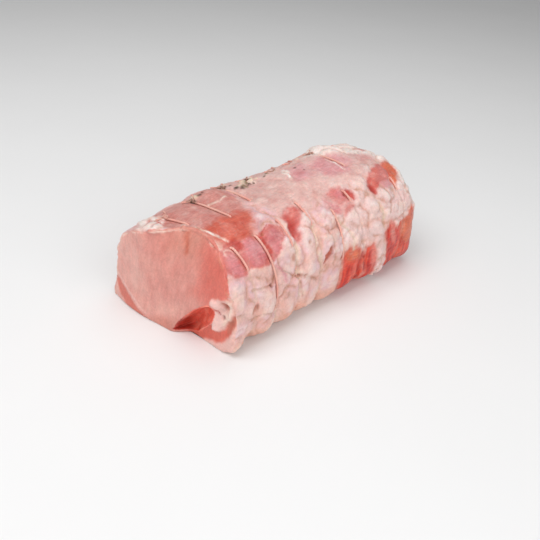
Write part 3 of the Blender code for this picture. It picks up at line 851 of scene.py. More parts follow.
# tissue, rise in mm, width in mm, corners as distances along and degrees round in turn
SKIN_LINES = (
    # Lines that sink in the fat crease, groove fat and deep red colours are painted shade in
    # creases, grooves and between tissues.
    ("fat crease shade", -1.5, 1.3, (56, 25, 63, 18, 70, 14)),
    ("fat crease shade", -1.4, 1.4, (72, 13, 80, 8, 87, 2)),
    ("groove fat shade", -1.2, 1.5, (70, 14, 72, 2, 74, -12)),
    ("deep red", -0.6, 0.9, (53, 55, 57, 59, 60, 60)),
    ("salmon lean", 0.4, 2.2, (179, 70, 176, 64, 174, 58)),
    ("mauve lean", -0.6, 1.2, (67.5, 112, 66.5, 104, 67.5, 96, 68, 88)),
    ("deep red", -0.9, 1.2, (131, 7, 134, -6, 135, -24)),
    ("groove cream", -1.2, 2.2, (71, 38, 69, 28, 68, 20, 70, 14)),
    ("groove cream", -1.1, 2, (91, 46, 88, 38, 87, 28, 90, 14)),
    ("groove cream", -1, 1.8, (112, 42, 118, 30, 121, 14)),
    ("groove cream", -1.1, 2, (152, 40, 154, 30, 152, 22)),
    ("fat crease shade", -1, 1.6, (100, 40, 102, 26, 101, 8)),
    ("fat crease shade", -0.9, 1.4, (162, 52, 165, 40, 160, 30)),
    ("fat crease shade", -1, 1.4, (134, 46, 139, 36, 136, 26)),
    ("fat crease shade", -1, 1.4, (30, 22, 37, 20, 45, 19, 50, 22)),
    ("fat crease shade", -0.9, 1.4, (28, -2, 36, 0, 45, -6)),
    ("fat crease shade", -1, 1.4, (52, 4, 60, 10, 66, 6)),
    ("pale mauve", 0, 2.4, (52, 30, 56, 24, 58, 16)),
    ("cream fat", 0.7, 1.2, (47, 105, 53, 103, 61, 104)),
    ("white fat", 0.3, 1.2, (146, 96, 145, 86, 145, 77)),
    ("side fat", 0.3, 0.9, (21, 54, 22, 58, 24, 58, 27, 55, 30, 51)),
    ("cream fat", 0.3, 1.1, (22, 88, 24, 79, 25, 72, 28, 66, 30, 62)),
    ("white fat", 0.3, 1.2, (24, 77, 25.5, 73, 27, 69)),
    ("brown lean", -0.9, 1.5, (4, 118, 9, 120, 15, 124)),
    ("pink membrane", -0.7, 1.6, (5, 111, 11, 114, 18, 113)),
    ("salmon lean", -0.7, 1.2, (13, 108, 15, 116, 13, 122)),
)
lay_all(patch_mask, SCRAPS, unrolled + ragged, is_outside, SKIN_SCALE)
lay_all(line_mask, SKIN_LINES, unrolled + 0.6 * ragged, is_outside, SKIN_SCALE)
print(len(NEAR_PATCHES + FAR_HALF_PATCHES + FOOT_PATCHES + SCRAPS), "patches on the outside")

# %% [markdown]
# ### Lumps and folds of the fat
#
# Soft fat between tight ties is lumpy, with sharp creases between round crowns, and the
# twine gathers it into small pleats that run away from it along the roast. Firm lean
# shows little of either, so the share of fat sets how strong they are. The creases are
# painted darker and warmer, as painted shade, and the crowns the palest cream, partly
# the fat's own colour and partly painted highlight.

# %% Lumps, wrinkles and pleats
# sizes and heights in mm
LUMP_SIZE = 13.5
LUMP_HEIGHT = 2.0
SMALL_LUMP_SIZE = 7.0
SMALL_LUMP_HEIGHT = 0.50
WRINKLE_SIZE = 3.0
WRINKLE_HEIGHT = 0.22
PLEAT_SIZE = 4.4
PLEAT_HEIGHT = 0.9
PLEAT_REACH = 4.5
PEBBLED_START = 80.0    # from here on the lumps are smaller and rounder
CALM_START = 48.0       # the side's low part is calm from here
CALM_END = 114.0        # to here

bent = points + 2.4 * bends(8.0, 9.0, 3) + 0.9 * bends(3.0, 10.0, 3)
pebbled = smooth_step((points[:, 0] - PEBBLED_START) / 50.0)
lump_places = bent * np.array((1.0, 0.8, 0.8))
lump_places[:, 0] -= 0.25 * np.maximum(points[:, 0] - 100.0, 0.0)
lump_places[:, 1:] *= (1.0 + 0.25 * pebbled)[:, None]
lumps = pillows(lump_places, LUMP_SIZE, 12.0)
small_lumps = pillows(bent * np.array((0.85, 1.0, 1.0)), SMALL_LUMP_SIZE, 13.0)
wrinkles = pillows(bent * np.array((1.0, 0.6, 0.6)), WRINKLE_SIZE, 15.0)
pleats = pillows(bent * np.array((0.3, 1.0, 1.0)), PLEAT_SIZE, 11.0)

nearest_tie = np.full(len(points), 1e9)
twine_shows = np.zeros(len(points))
closed_here = np.zeros(len(points))
turn_here = np.radians(degrees)
for number in range(len(TIES)):
    gap = np.abs(points[:, 0] - tie_x(number, turn_here))
    twine_shows = np.where(gap < nearest_tie, shows(number, degrees), twine_shows)
    closed_here = np.where(gap < nearest_tie, closure(number, turn_here), closed_here)
    nearest_tie = np.minimum(nearest_tie, gap)
near_tie = np.exp(-nearest_tie / PLEAT_REACH) * (1.0 - closed_here)

off_floor = smooth_step(points[:, 2] / 5.0)
soft = is_outside * off_floor * (0.12 + 0.88 * fat**2)
calm = smooth_step((6.0 - degrees) / 16.0) * smooth_step((points[:, 0] - CALM_START) / 8.0)
calm *= smooth_step((CALM_END - points[:, 0]) / 8.0)
folds = LUMP_HEIGHT * (1.0 - 0.1 * pebbled) * (lumps - 0.62) * (1.0 - 0.6 * near_tie)
folds += SMALL_LUMP_HEIGHT * (1.0 + 0.3 * pebbled) * (small_lumps - 0.62)
folds += WRINKLE_HEIGHT * (wrinkles - 0.6)
folds += PLEAT_HEIGHT * (pleats - 0.6) * near_tie
height += soft * folds * (1.0 - 0.6 * calm)
height += 0.25 * is_outside * off_floor * soft_noise(points, 1.6, 14.0)
print("folds from", round(float(folds.min()), 1), "to", round(float(folds.max()), 1), "mm")

# %% Painted shade in creases, and paler crowns
def creases(heights, reach):
    """1 along the creases between lumps, falling to 0 where they reach a height."""
    return np.maximum(1.0 - heights / reach, 0.0)


greasy = is_outside * fat**2
crown_share = 0.3 + 0.1 * pebbled
crown = smooth_step(2.2 * ((1.0 - crown_share) * lumps + crown_share * small_lumps - 0.55))
# The crowns of lumps are painted paler, partly the fat's own cream and partly painted highlight.
tint(greasy * crown * smooth_step(0.5 + 2.0 * warmth) * 0.60, "cream fat")
tint(greasy * crown * smooth_step(0.5 - 2.0 * warmth) * 0.50, "white fat")
# The low parts between lumps are painted warmer, as painted shade.
tint(greasy * smooth_step(1.0 - 1.6 * lumps) * smooth_step(0.5 + 2.5 * drift) * 0.5, "warm fat")
# Creases, wrinkles and thin cracks between lumps are painted darker, as painted shade.
crease_shade_share = 0.45 * creases(lumps, 0.35) + (0.18 + 0.04 * pebbled) * creases(small_lumps, 0.38)
crease_shade_share = np.clip(crease_shade_share, 0.0, 1.0) * (0.7 + 0.8 * fine_drift)
tint(greasy * crease_shade_share * (1.0 - 0.6 * calm), "fat crease shade")
tint(greasy * creases(wrinkles, 0.25) * 0.12, "fat crease shade")
crack_shade_share = np.minimum(creases(lumps, 0.2) + 0.6 * creases(small_lumps, 0.17), 1.0)
crack_shade_share = crack_shade_share * smooth_step(0.45 + 1.8 * fine_drift) * (1.0 - 0.5 * calm)
tint(greasy * crack_shade_share * 0.55, "thin crease shade")

# %% Colour and painted shade along the ties' grooves
near_groove = is_outside * np.exp(-(nearest_tie / 1.1) ** 2)
beside_groove = is_outside * np.exp(-((nearest_tie - 1.6) / 1.0) ** 2)
groove_line = is_outside * np.exp(-(nearest_tie / 0.6) ** 2) * smooth_step(0.7 + 1.6 * fine_drift)
open_here = 1.0 - closed_here / TOP_CLOSURE
bare_groove = fat * (1.0 - twine_shows) * open_here
tint(near_groove * bare_groove * smooth_step(0.6 + 2.0 * drift), "groove cream")
# The lines below paint shade: in bare grooves, in the pleats beside them, next to twine that shows,
# and in the grooves on the lean.
tint(groove_line * bare_groove * 0.7, "groove fat shade")
tint(beside_groove * open_here * creases(pleats, 0.4) * 0.55, "fat crease shade")
tint(near_groove * fat * twine_shows * 0.35, "groove fat shade")
tint(near_groove * (1.0 - fat) * 0.3 * open_here, "groove red shade")

# %% Strands and depth in the lean
lean = is_outside * (1.0 - fat)
strand_noise = soft_noise(bent * np.array((1.0, 0.45, 0.45)), 6.5, 16.0)
strands = creases(np.abs(strand_noise), 0.055)
paleness = smooth_step((colour[:, 1] - 0.06) / 0.12)
tint(lean * strands * (0.05 + 0.35 * paleness), "membrane")
veil = smooth_step(0.2 + 2.4 * soft_noise(bent, 8.0, 17.0))
tint(lean * veil * paleness * 0.16, "membrane")
streaks = soft_noise(points * np.array((1.0, 0.2, 0.2)) + 0.4 * bends(6.0, 36.0, 3), 1.7, 35.5)
streaks += 0.6 * soft_along(4.5, 36.5, 1.0, 0.45, 0.45)
# The orange and dark streaks of the red lean are partly fibre colour and partly painted highlight
# and painted shade, strongest on the lower right side.
wet = lean * (1.0 - paleness) * (0.2 + 0.8 * smooth_step((36.0 - degrees) / 10.0))
tint(wet * smooth_step(1.8 * streaks) * 0.6, "orange fibre and highlight")
tint(wet * smooth_step(-1.8 * streaks) * 0.8, "dark fibre and shade")
height += 0.35 * wet * off_floor * np.clip(streaks, -1.0, 1.0)
depth_noise = 0.55 * soft_noise(points, 6.0, 18.0) + 0.45 * soft_noise(bent, 2.6, 19.0)
vary((0.10 + 0.42 * lean) * is_outside * depth_noise, 0.35)

# %% Pits with painted shade, stains and specks
# tissue, distance along, degrees round, radius, rise
SPOTS = (
    # Spots that sink, in the hollow and crease colours, are pits with painted shade.
    ("hollow shade", 31, 7, 1.5, -2.2), ("fat crease shade", 31, 7, 2.6, -0.8),
    ("crease", 45, 19, 1.2, -1.2), ("fat crease shade", 70, 14, 1.6, -1.8),
    ("fat crease shade", 82, 35, 1.3, -0.8), ("crease", 128, 57, 1.2, -1),
    ("hollow shade", 53, 55, 1.3, -0.7), ("fat crease shade", 75, 12, 1.2, -1),
    ("fat crease shade", 66, 30, 2.6, -0.8), ("knot cream", 50, 122, 3, 1.2),
    ("stain", 53, 120, 1.3, 0.6), ("stain", 56, 121, 1, 0.5), ("stain", 46, 118, 0.9, 0.4),
    ("olive stain", 44, 120, 1.3, 0.8), ("stain", 72, 119, 1.6, 0.8), ("stain", 76, 117, 1.2, 0.5),
    ("knot cream", 74, 122, 1.8, 1.4), ("knot cream", 84, 114, 2.4, 2.2),
    ("white fat", 90, 116, 1.8, 2.4), ("olive stain", 80, 109, 1.6, 0.5),
    ("stain", 78, 108, 1.3, 0.3), ("stain", 85, 109, 1.3, 0.5), ("olive stain", 84, 111, 1.6, 0.8),
    ("knot cream", 88, 112, 1.7, 2.2), ("stain", 88, 108, 1, 0.4),
    ("knot cream", 78, 111, 1.4, 1.2), ("stain", 83, 108, 0.9, 0.3), ("stain", 90, 112, 1, 0.9),
    ("olive stain", 104, 115, 1.4, 0.3), ("stain", 100, 112, 0.9, 0.3),
    ("knot cream", 96, 116, 1.6, 1), ("olive stain", 157, 125, 1.8, 0.4),
    ("stain", 124, 97, 0.8, 0.1), ("knot cream", 136, 118, 1.8, 1), ("stain", 113, 117, 1, 0.3),
    ("stain", 121, 104, 0.8, 0.1), ("knot cream", 93, 119, 1.7, 1.8),
    ("knot cream", 81, 111, 1.3, 1.5), ("stain", 75, 110, 1.7, 0.4), ("stain", 77, 106, 1.6, 0.3),
    ("olive stain", 80, 107, 1.8, 0.5),
)
for tissue, x, angle, radius, rise in SPOTS:
    gap = unrolled + 0.5 * ragged - np.array((x, angle * ROUND_WAY))
    lay(is_outside * np.exp(-(np.hypot(*gap.T) / radius) ** 4), tissue, rise)

# %% [markdown]
# ### The cut face
#
# The knife cut the eye of the loin across its fibres, so the face is smooth and shows
# only faint upright streaks. It is palest at the left and reddest in a crescent at the
# right. The flap's end, right of the cleft, is layers of fat with one red band.

# %% Tissues of the near face
FOOT_BULGE = 3.6        # the face's soft foot swells forwards
is_face = (zone == NEAR_FACE) | (is_outside & (points[:, 0] < face_x(*flat.T) + 0.9)
                                 & (points[:, 0] < 24.0))
lay(is_face * 1.0, "face pale")
# tissue, rise in mm, edge width in mm, corners as distances across and up in turn
FACE_PATCHES = (
    ("face left", 0, 26, (110, 0, 110, 50, 92, 66, 78, 62, 70, 34, 76, 6)),
    ("face left", 0, 16, (76, 6, 70, 16, 56, 20, 44, 20, 40, 14, 52, 8, 66, 2)),
    ("face tan", 0, 14, (68, 66, 44, 72, 22, 72, 30, 58, 44, 50, 60, 50)),
    ("face red", 0, 18, (34, 65, 18, 62, 4, 52, 0, 38, 4, 28, 18, 28, 32, 36, 33, 47, 37, 57)),
    ("face red", 0, 11, (22, 56, 12, 52, 4, 42, 7, 34, 15, 36, 19, 44, 20, 50)),
    ("face tan", 0, 8, (68, -2, 60, 6, 50, 9, 42, 12, 36, 8, 46, -2)),
    ("side band", -0.3, 2, (110, 17, 97, 14.5, 93.5, 12.5, 87, 9, 79, 5, 69, 1.2, 58, -4, 110, -4)),
    ("face left", 0.4, 1.8, (112, 16, 101.5, 13, 98.5, 8.5, 95, 4, 90, 1.6, 84, -1, 76, -6,
         112, -6)),
    ("flap fat", 0, 2.4, (33, -4, 28, 2, 24, 8, 20, 14, 18.5, 27, 18, 36, 14, 39, 8, 40, 3, 36,
         -8, 36, -8, -4)),
    ("side fat", 0, 2, (7, 50, 6.5, 44, 6.5, 38, 3, 34, -10, 34, -10, 50)),
    ("band red", -0.9, 2.6, (40, 6, 35, 12, 28, 16, 22.5, 17, 19, 12.5, 15, 13.5, 10.5, 17, 7.5, 23,
         5, 30, 2.5, 29, 3.5, 20, 7, 12.5, 12, 7, 19, 3.4, 26, 1.6, 40, -2)),
    # Painted shade in a hollow at the red band.
    ("hollow shade", -0.3, 4, (8.5, 24, 6, 29, 3, 28, 4.5, 20, 7.5, 16)),
    ("block fat", 1.8, 2.2, (19, 28.5, 13, 30, 10.5, 26, 11, 19, 14, 15, 20.5, 12.5, 20.5, 20)),
    ("block fat", 1.2, 1.8, (18, 38, 14.5, 37, 12, 31.5, 17, 31.5, 19, 34)),
    # Painted shade in a hollow beside the smaller fat block.
    ("hollow shade", -0.8, 2, (12.5, 37, 9.5, 36.5, 9.5, 32, 11.5, 31.5)),
)
FACE_LINES = (
    ("face line", 0.2, 1.1, (101, 19, 95.5, 16.2, 87, 11, 77, 7.3, 68, 4)),
    ("face streak", 0, 2.8, (52.5, 62, 50.5, 58, 48, 53)),
    # A thin line of painted shade along the fat block.
    ("deep red", -0.9, 0.7, (19, 30.5, 16, 29, 13.8, 27.8)),
    ("cream fat", 1, 1.8, (8.5, 40, 7.5, 33, 8, 26)),
    ("cream fat", 0.5, 1.6, (11, 28, 9.6, 26, 10.6, 21)),
    # Painted shade in a small crease.
    ("crease", -1.8, 1.3, (12, 27, 11.2, 25.6)),
)
lay_all(patch_mask, FACE_PATCHES, flat + 0.7 * ragged, is_face)
lay_all(line_mask, FACE_LINES, flat + 0.4 * ragged, is_face)
cut_streaks = soft_along(3.2, 25.0, 1.0, 1.0, 0.28)
cut_clouds = soft_noise(points, 9.0, 26.0)
vary(is_face * (1.0 - fat) * (0.13 * cut_streaks + 0.10 * cut_clouds))
foot_bulge = np.exp(-((flat[:, 0] - 80.0) / 20.0) ** 2 - (flat[:, 1] / 12.0) ** 2)
height += is_face * (FOOT_BULGE * foot_bulge + 0.10 * soft_noise(points, 2.2, 21.0))
height += 0.35 * is_face * soft_noise(points, 12.0, 22.0)
height += is_face * fat * 0.7 * soft_noise(points, 5.0, 27.0)

# %% The fat rim of the near face
# degrees round the section, and the rim's width there in mm
RIM_WIDTHS = ((-60, 0), (56, 0), (64, 0.8), (74, 1), (84, 1.2), (92, 0.6), (104, 1), (118, 0.5),
              (135, 1), (150, 0.9), (190, 0.8), (215, 0.4), (300, 0))
rim_x = face_x(*near_rim.T)
near_points = np.flatnonzero(is_face | (is_outside & (points[:, 0] < 32.0)))
rim_places = np.column_stack([rim_x, near_rim])
gaps = np.array([np.hypot(*(rim_places - place).T[:2]) + np.abs(rim_places[:, 2] - place[2])
                 for place in points[near_points] + 0.35 * ragged[near_points][:, [0, 1, 0]]])
rim_turn = (np.degrees(around)[gaps.argmin(axis=1)] + 60.0) % 360.0 - 60.0
broken = np.clip(0.9 + 1.6 * soft_noise(points[near_points], 6.0, 28.0), 0.15, 1.4)
width = np.interp(rim_turn, *np.array(RIM_WIDTHS).T) * broken
mask = np.zeros(len(points))
mask[near_points] = smooth_step(1.2 - gaps.min(axis=1) / np.maximum(width, 0.05))
lay(mask * 0.85, "cream fat", 0.3)
right_rim = smooth_step((62.0 - rim_turn) / 10.0) * smooth_step((rim_turn + 8.0) / 10.0)
mask[near_points] = right_rim * smooth_step(1.2 - gaps.min(axis=1) / 1.5)
broken = smooth_step(0.5 + 2.0 * soft_noise(points, 4.0, 29.0))
lay(mask * 0.45 * broken, "rim tan")

# %% Tissues of the cleft, with painted shade and painted light
is_cleft = zone == CLEFT
along, across = cleft_place(*flat.T)
# The cleft's red is the muscle's red painted brighter, as painted light in the shaded pocket.
lay(is_cleft * 1.0, "cleft red")
slant = points @ np.array(((0.5, 0.0, 0.0), (0.0, 0.9, -0.25), (0.0, 0.5, 0.35)))
strands = soft_noise(slant + 0.3 * bends(4.0, 33.0, 3), 2.4, 31.0)
# Pink strands are the tissue's streaks, partly painted highlight; the dark between them is painted
# shade.
lay(is_cleft * smooth_step(2.4 * strands) * 0.7, "cleft pink")
lay(is_cleft * smooth_step(-2.4 * strands) * 0.15, "cleft shade")
from_foot = np.linalg.norm(points - np.array((5.0, 42.0, 7.0)), axis=1)
# Painted shadow, darkest near the cleft's deep foot.
lay(is_cleft * smooth_step((13.0 - from_foot) / 7.0), "cleft shade")
# A thin painted shadow along the eye's side, under its lip.
lay(is_cleft * smooth_step((1.0 - np.maximum(across, 0.0)) / 1.0) * 0.35, "cleft shade")
lay(is_cleft * smooth_step((across - 7.0) / 3.0) * smooth_step((0.42 - along) / 0.2), "band red")
inward = points[:, 0] - face_x(*flat.T)
lay(is_cleft * smooth_step((across - 9.5) / 2.5) * smooth_step((along - 0.38) / 0.15)
    * smooth_step(1.3 - inward / 3.0), "block fat")
height += is_cleft * (0.35 * strands + 0.7 * soft_noise(points, 6.5, 32.0))

# %% Tissues of the far face
is_far = (zone == FAR_FACE) | (is_outside & (points[:, 0] > ROAST_LENGTH - 0.2))
lay(is_far * 1.0, "face pale")
FAR_PATCHES = (
    ("face left", 0, 16, (20, 20, 30, 56, 60, 62, 66, 34, 44, 20)),
    ("face tan", 0, 16, (60, 60, 84, 52, 88, 26, 70, 14, 56, 30)),
    ("side fat", 0.3, 2.5, (4, 8, 7, 50, 16, 60, 19, 50, 14, 30, 20, 14, 44, 9, 84, 12, 84, 2,
         10, 2)),
    ("band red", -0.5, 2, (9, 16, 10, 40, 13, 44, 13, 20, 22, 9, 60, 6, 60, 3.5, 18, 5)),
)
lay_all(patch_mask, FAR_PATCHES, flat + 0.8 * ragged, is_far)
vary(is_far * (1.0 - fat) * (0.14 * cut_streaks + 0.16 * cut_clouds))
height += is_far * (0.12 * soft_noise(points, 2.2, 23.0) + 0.5 * soft_noise(points, 11.0, 24.0))
print("painted", len(points), "points; mean fat share", round(float(fat.mean()), 2))

# %% [markdown]
# ### Raise the relief and make the mesh
#
# The heights move each point along its normal. The lip of the cleft and the rims are
# then eased a little, because a knife edge in soft meat rounds off. Points at the
# underside stay on the surface that the roast rests on.

# %% The meat's mesh
EASED_REACH = 2.0
EASE_ROUNDS = 5
CLEFT_EASE_ROUNDS = 16


def make_object(name, places, faces):
    """A mesh object from roast millimetres and faces."""
    data = bpy.data.meshes.new(name)
    data.from_pydata(to_row(places).tolist(), [], faces)
    made = bpy.data.objects.new(name, data)
    bpy.context.scene.collection.objects.link(made)
    return made


def close_and_orient(data):
    """Fill slits left between triangles and turn the faces outwards."""
    mesh = bmesh.new()
    mesh.from_mesh(data)
    gaps_left = [edge for edge in mesh.edges if len(edge.link_faces) == 1]
    bmesh.ops.holes_fill(mesh, edges=gaps_left, sides=0)
    bmesh.ops.recalc_face_normals(mesh, faces=mesh.faces[:])
    if mesh.calc_volume(signed=True) < 0.0:
        bmesh.ops.reverse_faces(mesh, faces=mesh.faces[:])
    mesh.to_mesh(data)
    mesh.free()
    return len(gaps_left)


def read_array(items, attribute, width):
    """One attribute of many mesh items as an array."""
    values = np.zeros(len(items) * width, np.float32)
    items.foreach_get(attribute, values)
    return values.reshape(-1, width)


def write_layer(data, name, values):
    """Store a number, or a colour, for each point of a mesh."""
    coloured = values.ndim == 2
    layer = data.attributes.new(name, 'FLOAT_COLOR' if coloured else 'FLOAT', 'POINT')
    layer.data.foreach_set("color" if coloured else "value", values.astype(np.float32).ravel())


def eased(places, edges, chosen):
    """Move the chosen points halfway to the mean of their neighbours."""
    total = np.zeros_like(places)
    number = np.zeros(len(places))
    for near, far in (edges.T, edges.T[::-1]):
        np.add.at(total, near, places[far])
        np.add.at(number, near, 1.0)
    mean = total / np.maximum(number, 1.0)[:, None]
    return places + 0.5 * chosen[:, None] * (mean - places)


meat = make_object("loin_meat", points, faces)
print("edges of slits closed:", close_and_orient(meat.data))
normals = read_array(meat.data.vertex_normals, "vector", 3)
mouth_gap = np.full(len(points), 9.0)
near_mouth = np.flatnonzero((zone != FAR_FACE) & (points[:, 0] < 20.0) & (points[:, 1] < 55.0))
mouth_gap[near_mouth] = [np.min(np.linalg.norm(mouth - place, axis=1))
                         for place in points[near_mouth]]
ease = smooth_step(2.0 - mouth_gap / EASED_REACH)
edges = read_array(meat.data.edges, "vertices", 2).astype(int)
places = points + normals * height[:, None]
for _ in range(EASE_ROUNDS):
    places = eased(places, edges, ease)
in_cleft = is_cleft & (mouth_gap > EASED_REACH)
cleft_edges = edges[in_cleft[edges].any(axis=1)]
for _ in range(CLEFT_EASE_ROUNDS):
    places = eased(places, cleft_edges, in_cleft * 1.0)
floor_points = points[:, 2] <= 0.02
places[:, 2] = np.where(floor_points, 0.0, np.maximum(places[:, 2], 0.0))
meat.data.vertices.foreach_set("co", to_row(places).astype(np.float32).ravel())
meat.data.shade_smooth()
meat.data.update()
write_layer(meat.data, "tissue", np.column_stack([colour, np.ones(len(colour))]))
write_layer(meat.data, "fat", fat)
write_layer(meat.data, "cut", (is_face | is_far) * 1.0)
print("meat:", len(meat.data.vertices), "points; height", round(float(places[:, 2].max()), 1), "mm")

# %% [markdown]
# ## Finish of the meat
#
# A small class adds nodes and links them, so that each finish takes only a few lines.
# Two effects are shared by several finishes, so they are node groups: a mottle that
# breaks any colour into soft patches, and a grain of long streaks. Each takes its
# sizes as inputs and gives one value back.

# %% Wiring of nodes
NOISE_ROUGHNESS = 0.6


class Wiring:
    """Adds nodes to one tree, and gives their inputs values or other nodes' outputs."""

    def __init__(self, tree):
        self.tree = tree

    def feed(self, inputs, values):
        """Set inputs, by name or number, to plain values, or link them to outputs."""
        for key, value in values.items():
            if isinstance(value, bpy.types.NodeSocket):
                self.tree.links.new(value, inputs[key])
            else:
                inputs[key].default_value = value

    def add(self, kind, inputs, **settings):
        """The outputs of a new node with its settings and inputs."""
        node = self.tree.nodes.new(kind)
        for name, setting in settings.items():
            setattr(node, name, setting)
        self.feed(node.inputs, inputs)
        return node.outputs

    def math(self, operation, first, second):
        """The result of a Math node."""
        return self.add('ShaderNodeMath', {0: first, 1: second}, operation=operation)[0]

    def noise(self, vector, scale, detail):
        """Noise read at a vector."""
        inputs = {"Vector": vector, "Scale": scale, "Detail": detail,
                  "Roughness": NOISE_ROUGHNESS}
        return self.add('ShaderNodeTexNoise', inputs)["Fac"]

    def mix(self, kind, share, first, second):
        """Two colours mixed by a share."""
        inputs = {0: share, 6: first, 7: second}
        return self.add('ShaderNodeMix', inputs, data_type='RGBA', blend_type=kind)[2]

    def shade(self, colour, light):
        """A colour made lighter or darker by a value round 1."""
        grey = self.add('ShaderNodeCombineColor', {0: light, 1: light, 2: light})[0]
        return self.mix('MULTIPLY', 1.0, colour, grey)

    def layer(self, name, output="Fac"):
        """A layer that was painted on the mesh."""
        return self.add('ShaderNodeAttribute', {}, attribute_name=name)[output]

    def group(self, shared, **values):
        """The result of a shared node group with its own input values."""
        return self.add('ShaderNodeGroup', values, node_tree=shared)[0]

    def bump(self, strength, distance, height):
        """A normal bent by a height, where 1 stands for a distance in metres."""
        inputs = {"Strength": strength, "Distance": distance, "Height": height}
        return self.add('ShaderNodeBump', inputs)["Normal"]


def new_material(name):
    """A material, its wiring and the inputs of its Principled shader."""
    material = bpy.data.materials.new(name)
    material.use_nodes = True
    return (material, Wiring(material.node_tree),
            material.node_tree.nodes["Principled BSDF"].inputs)


# %% Node groups
def new_group(name, inputs, output):
    """A shader node group with inputs of (name, kind, value) and one number as its output."""
    tree = bpy.data.node_groups.new(name, 'ShaderNodeTree')
    for title, kind, value in inputs:
        tree.interface.new_socket(title, in_out='INPUT', socket_type=kind).default_value = value
    tree.interface.new_socket(output, in_out='OUTPUT', socket_type='NodeSocketFloat')
    given = tree.nodes.new('NodeGroupInput').outputs
    result = tree.nodes.new('NodeGroupOutput').inputs
    return Wiring(tree), given, result


def build_mottle():
    """Soft patches round 1: Scale in patches per metre, Strength as a share."""
    wiring, given, result = new_group("Mottle", (
        ("Scale", 'NodeSocketFloat', 300.0), ("Strength", 'NodeSocketFloat', 0.1)), "Factor")
    place = wiring.add('ShaderNodeTexCoord', {})["Object"]
    centred = wiring.math('SUBTRACT', wiring.noise(place, given["Scale"], 3.0), 0.5)
    swing = wiring.math('MULTIPLY', centred, given["Strength"])
    wiring.feed(result, {0: wiring.math('ADD', wiring.math('MULTIPLY', swing, 4.0), 1.0)})
    return wiring.tree


def build_grain():
    """Streaks from 0 to 1, long where Stretch is small."""
    wiring, given, result = new_group("Grain", (
        ("Scale", 'NodeSocketFloat', 500.0),
        ("Stretch", 'NodeSocketVector', (1.0, 1.0, 1.0))), "Streaks")
    place = wiring.add('ShaderNodeTexCoord', {})["Object"]
    stretched = wiring.add('ShaderNodeVectorMath', {0: place, 1: given["Stretch"]},
                           operation='MULTIPLY')[0]
    streaks = wiring.noise(stretched, given["Scale"], 4.0)
    spread = wiring.add('ShaderNodeMapRange', {"Value": streaks, "From Min": 0.3, "From Max": 0.7})
    wiring.feed(result, {0: spread["Result"]})
    return wiring.tree


MOTTLE = build_mottle()
GRAIN = build_grain()
print("node groups:", MOTTLE.name, GRAIN.name)


# %% [markdown]
# The meat takes its ground colour from the painting. Lean gets fibres: along the roast
# on the outside, and upright on a cut face. Fat gets a finer mottle and stays a little
# rougher. Light enters raw meat, so a thin layer of subsurface scattering softens it.

# %% Raw meat
def build_meat():
    """The meat's finish, from its painted layers."""
    material, wiring, shader = new_material("Raw pork")
    fat_share = wiring.layer("fat")
    cut_share = wiring.layer("cut")
    lean_share = wiring.math('SUBTRACT', 1.0, fat_share)
    along = wiring.group(GRAIN, Scale=900.0, Stretch=(0.12, 1.0, 1.0))
    upright = wiring.group(GRAIN, Scale=520.0, Stretch=(0.4, 1.0, 0.3))
    fibres = wiring.add('ShaderNodeMix', {0: cut_share, 2: along, 3: upright})[0]
    strength = wiring.math('SUBTRACT', 0.26, wiring.math('MULTIPLY', cut_share, 0.14))
    fibre_light = wiring.math('MULTIPLY', wiring.math('SUBTRACT', fibres, 0.5), lean_share)
    fibre_light = wiring.math('MULTIPLY', fibre_light, strength)
    broad = wiring.group(MOTTLE, Scale=140.0, Strength=0.07)
    fine = wiring.group(MOTTLE, Scale=800.0, Strength=0.10)
    light = wiring.math('ADD', wiring.math('MULTIPLY', broad, fine), fibre_light)
    shaded = wiring.shade(wiring.layer("tissue", "Color"), light)
    pale = wiring.mix('MIX', 0.5, shaded, (0.80, 0.50, 0.44, 1.0))
    veins = wiring.group(GRAIN, Scale=300.0, Stretch=(0.5, 1.0, 0.7))
    vein_share = wiring.math('MULTIPLY', wiring.math('POWER', veins, 6.0), lean_share)
    vein_share = wiring.math('MULTIPLY', vein_share, 0.22)
    rough = wiring.math('ADD', wiring.math('MULTIPLY', fat_share, 0.10), 0.36)
    rise = wiring.math('ADD', wiring.math('MULTIPLY', fibres, 0.5), fine)
    wiring.feed(shader, {
        "Base Color": wiring.mix('MIX', vein_share, shaded, pale),
        "Roughness": wiring.math('MULTIPLY', rough, broad),
        "Normal": wiring.bump(0.35, 0.0006, rise),
        "Subsurface Weight": 0.25,
        "Subsurface Radius": (1.0, 0.45, 0.35),
        "Subsurface Scale": 0.0025,
        "Coat Weight": 0.16,
        "Coat Roughness": 0.25,
        "IOR": 1.4,
    })
    return material


meat.data.materials.append(build_meat())
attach(meat, "root")
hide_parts("loin")

# %% [markdown]
# ## Twine
#
# Butcher's twine is two or three plies of cotton twisted together, here soaked to the
# colour of the meat. Each tie is a closed ring in its groove. Three thin tubes wind
# round the ring's centre line, so that the twist is real and shows in close views.

# %% The ring's centre line
TWINE_RADIUS = 0.7
TWINE_LIFT = 0.33       # how far the ring stands out of its groove
TWINE_CLEARANCE = 0.1   # from the floor, under the roast
PLY_RADIUS = 0.40
PLY_OFFSET = 0.36
PLY_SIDES = 6
TWIST_LENGTH = 5.0
STEPS_PER_TWIST = 10


def groove_floor(number, angle):
    """Middle of a tie's groove, and the direction out of the meat there."""
    floor_y, floor_z = skin(tie_x(number, angle), angle, np.zeros_like(angle))
    floor = np.stack([tie_x(number, angle), floor_y, floor_z], axis=1)
    run = np.roll(floor, -1, axis=0) - np.roll(floor, 1, axis=0)
    outward = unit(np.stack([np.zeros(len(run)), -run[:, 2], run[:, 1]], axis=1))
    inward = ((floor - floor.mean(axis=0)) * outward).sum(axis=1) < 0.0
    outward[inward] *= -1.0
    return floor, outward


def gaps_along(path):
    """Distances from each point of a path to the next."""
    return np.linalg.norm(np.diff(path, axis=0), axis=1)


